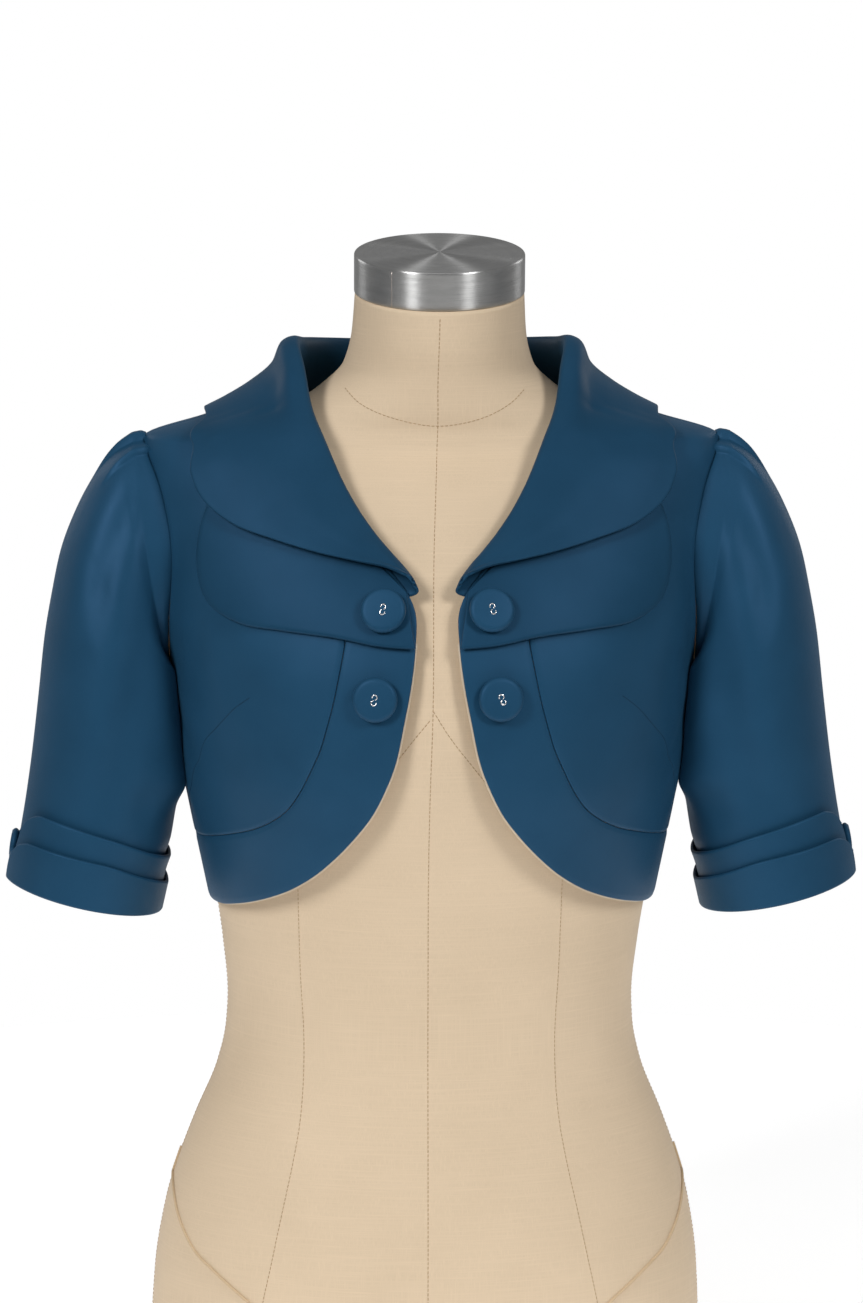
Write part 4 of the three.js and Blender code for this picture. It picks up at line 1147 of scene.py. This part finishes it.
def form_seams():
    lines = [
        form_path(CENTRE_SEAM, 400, 0.0),
        form_path(NECK_SEAM, 160, 0.0),
        form_path(BUST_SEAM_LEFT, 120, 0.0),
        form_path(BUST_SEAM_RIGHT, 120, 0.0),
    ]
    for sign in (1, -1):
        side = [(sign * x + PRINCESS_SHIFT, z) for x, z in PRINCESS]
        lines += [form_path(side, 400, 0.0), form_path(side, 400, 0.0, back=True)]
    heights = np.linspace(2, 640, 300)
    lines += [on_form(np.full(300, turn), heights, 0.0) for turn in (90.0, 180.0, 270.0)]
    parts = []
    for path, out in lines:
        parts += stitches(path, out, 0.27)
    obj = joined("form_stitching", parts)
    finish_piece(obj, (THREAD_MATERIAL,))
    cords = []
    for sign in (1, -1):
        side = [(sign * x - 2.5, z) for x, z in LEG_LINE]
        path, out = form_path(side, 260, 0.35)
        cords.append(tube(path, 1.0, sides=12, out=out))
    finish_piece(joined("form_leg_cords", cords), (CORD,))


def cap():
    radius, height = CAP["radius"], CAP["height"]
    tilt = math.radians(CAP["tilt"])
    axis = Vector((0, -math.sin(tilt), math.cos(tilt)))
    base = Vector((CAP["x"], CAP["y"], CAP["top_z"])) - axis * height
    fillet = [(radius - 1.3 + 1.3 * math.cos(a), height - 1.3 + 1.3 * math.sin(a))
              for a in np.linspace(0, math.pi / 2, 8)]
    side = [(radius - 2.4, 0.0), (radius - 0.5, 0.0), (radius - 0.1, 0.25), (radius, 0.7)]
    steps = [(radius, h) for h in np.linspace(2, height - 2.4, 10)]
    top = [(r, height + 0.25 * math.sin(math.pi * r / radius) ** 2)
           for r in np.linspace(radius - 2.2, 0.6, 26)]
    obj = turned("neck_cap_steel", side + steps + fillet + top, base, axis, columns=160)
    finish_piece(obj, (STEEL,), ["neck_cap"])
    seam_turn = math.radians(-35)
    spoke = Vector((math.sin(seam_turn), -math.cos(seam_turn), 0))
    spoke = (spoke - axis * spoke.dot(axis)).normalized()
    ends = [base + spoke * (radius - 0.12) + axis * h for h in np.linspace(0.8, height - 1.6, 12)]
    out = np.array([tuple(spoke)] * len(ends))
    joint = joined("neck_cap_joint", [tube([tuple(p) for p in ends], 0.35, out=out)])
    finish_piece(joint, (JOINT,))


# Darker copy of the jacket cloth for the dart lines: painted shade of the dart's fold
def painted_dart_shade_material():
    material, tree, surface = shader("dart_shadow", (0.010, 0.038, 0.075), 0.8, specular=0.1)
    place = coordinates(tree, "Object", (1, 1, 1))
    color = mix_color(tree, noise(tree, place, 300, 2.0), (0.008, 0.03, 0.06), (0.013, 0.05, 0.095))
    tree.links.new(color, surface.inputs["Base Color"])
    return material


def joint_material():
    material, tree, surface = shader("cap_joint", (0.5, 0.45, 0.42), 0.4, metallic=1.0)
    place = coordinates(tree, "Object", (1, 1, 1))
    tree.links.new(spread(tree, noise(tree, place, 500, 2.0), 0.3, 0.5), surface.inputs["Roughness"])
    return material


# The first is painted shade for the dart lines
PAINTED_DART_SHADE = painted_dart_shade_material()
JOINT = joint_material()


# Camera, light and stage

TARGET = Vector((0, 0, 0.505))
DISTANCE = 3.0
ELEVATION = 9.5
AZIMUTH = -1.8
LENS = 130


def camera():
    a, e = math.radians(AZIMUTH), math.radians(ELEVATION)
    back = Vector((math.sin(a) * math.cos(e), -math.cos(a) * math.cos(e), math.sin(e)))
    data = bpy.data.cameras.new("camera")
    data.lens, data.sensor_width, data.sensor_fit = LENS, 36, "AUTO"
    obj = bpy.data.objects.new("camera", data)
    obj.location = TARGET + back * DISTANCE
    obj.rotation_mode = "QUATERNION"
    obj.rotation_quaternion = (-back).to_track_quat("-Z", "Y")
    bpy.context.scene.collection.objects.link(obj)
    bpy.context.scene.camera = obj


# Softboxes by where they stand round the object, 0 in front and + to the picture's right
LIGHTS = named("name turn far high size power", [
    ("left_box", -40, 2.1, 1.7, (0.55, 0.85), 32),
    ("right_box", 40, 2.1, 1.7, (0.55, 0.85), 25),
    ("top_box", 0, 0.5, 2.4, (1.4, 0.9), 4),
    ("back_left_box", -130, 2.2, 1.4, (0.8, 1.4), 5),
    ("back_right_box", 130, 2.2, 1.4, (0.8, 1.4), 5),
])
LIGHT_AIM = Vector((0, 0, 0.5))


def lights():
    for row in LIGHTS:
        data = bpy.data.lights.new(row["name"], "AREA")
        data.shape = "RECTANGLE"
        data.size, data.size_y = row["size"]
        data.energy = row["power"]
        obj = bpy.data.objects.new(row["name"], data)
        turn = math.radians(row["turn"])
        place = Vector((row["far"] * math.sin(turn), -row["far"] * math.cos(turn), row["high"]))
        obj.location = place
        obj.rotation_mode = "QUATERNION"
        obj.rotation_quaternion = (LIGHT_AIM - place).to_track_quat("-Z", "Y")
        bpy.context.scene.collection.objects.link(obj)


WORLD_SEEN = 1.0
WORLD_LIGHT = 0.09
WORLD_MIRRORED = 0.28


def world():
    made = bpy.data.worlds.new("studio")
    made.use_nodes = True
    tree = made.node_tree
    background = tree.nodes["Background"]
    path = tree.nodes.new("ShaderNodeLightPath")
    seen = math_node(tree, "MULTIPLY", path.outputs["Is Camera Ray"], WORLD_SEEN - WORLD_LIGHT)
    mirrored = math_node(tree, "MULTIPLY", path.outputs["Is Glossy Ray"],
                         WORLD_MIRRORED - WORLD_LIGHT)
    added = math_node(tree, "ADD", seen, mirrored)
    tree.links.new(math_node(tree, "ADD", added, WORLD_LIGHT), background.inputs["Strength"])
    background.inputs["Color"].default_value = (1, 1, 1, 1)
    bpy.context.scene.world = made
    bpy.context.scene.view_settings.view_transform = "Standard"


FLOOR_RADIUS = 1100
FLOOR_DROP = -0.5
FLOOR_GLOW = 0.62


def floor():
    material, tree, surface = shader("floor", (0.9, 0.9, 0.9), 0.9, specular=0.1)
    surface.inputs["Emission Color"].default_value = (1, 1, 1, 1)
    surface.inputs["Emission Strength"].default_value = FLOOR_GLOW
    turns = np.radians(np.arange(0, 360, 3))
    points = np.stack([FLOOR_RADIUS * np.cos(turns), FLOOR_RADIUS * np.sin(turns),
                       np.full(len(turns), FLOOR_DROP)], -1)
    obj = new_object("floor", points, [tuple(range(len(turns)))])
    obj.data.materials.append(material)


camera()
lights()
world()
floor()
dress_form()
form_seams()
cap()
back_panel()
hem_band_back()
front_panels()
front_bands()
lining_strips()
painted_dart_shade_lines()
lower_lapels()
collar()
sleeves()
cuffs()
buttons()
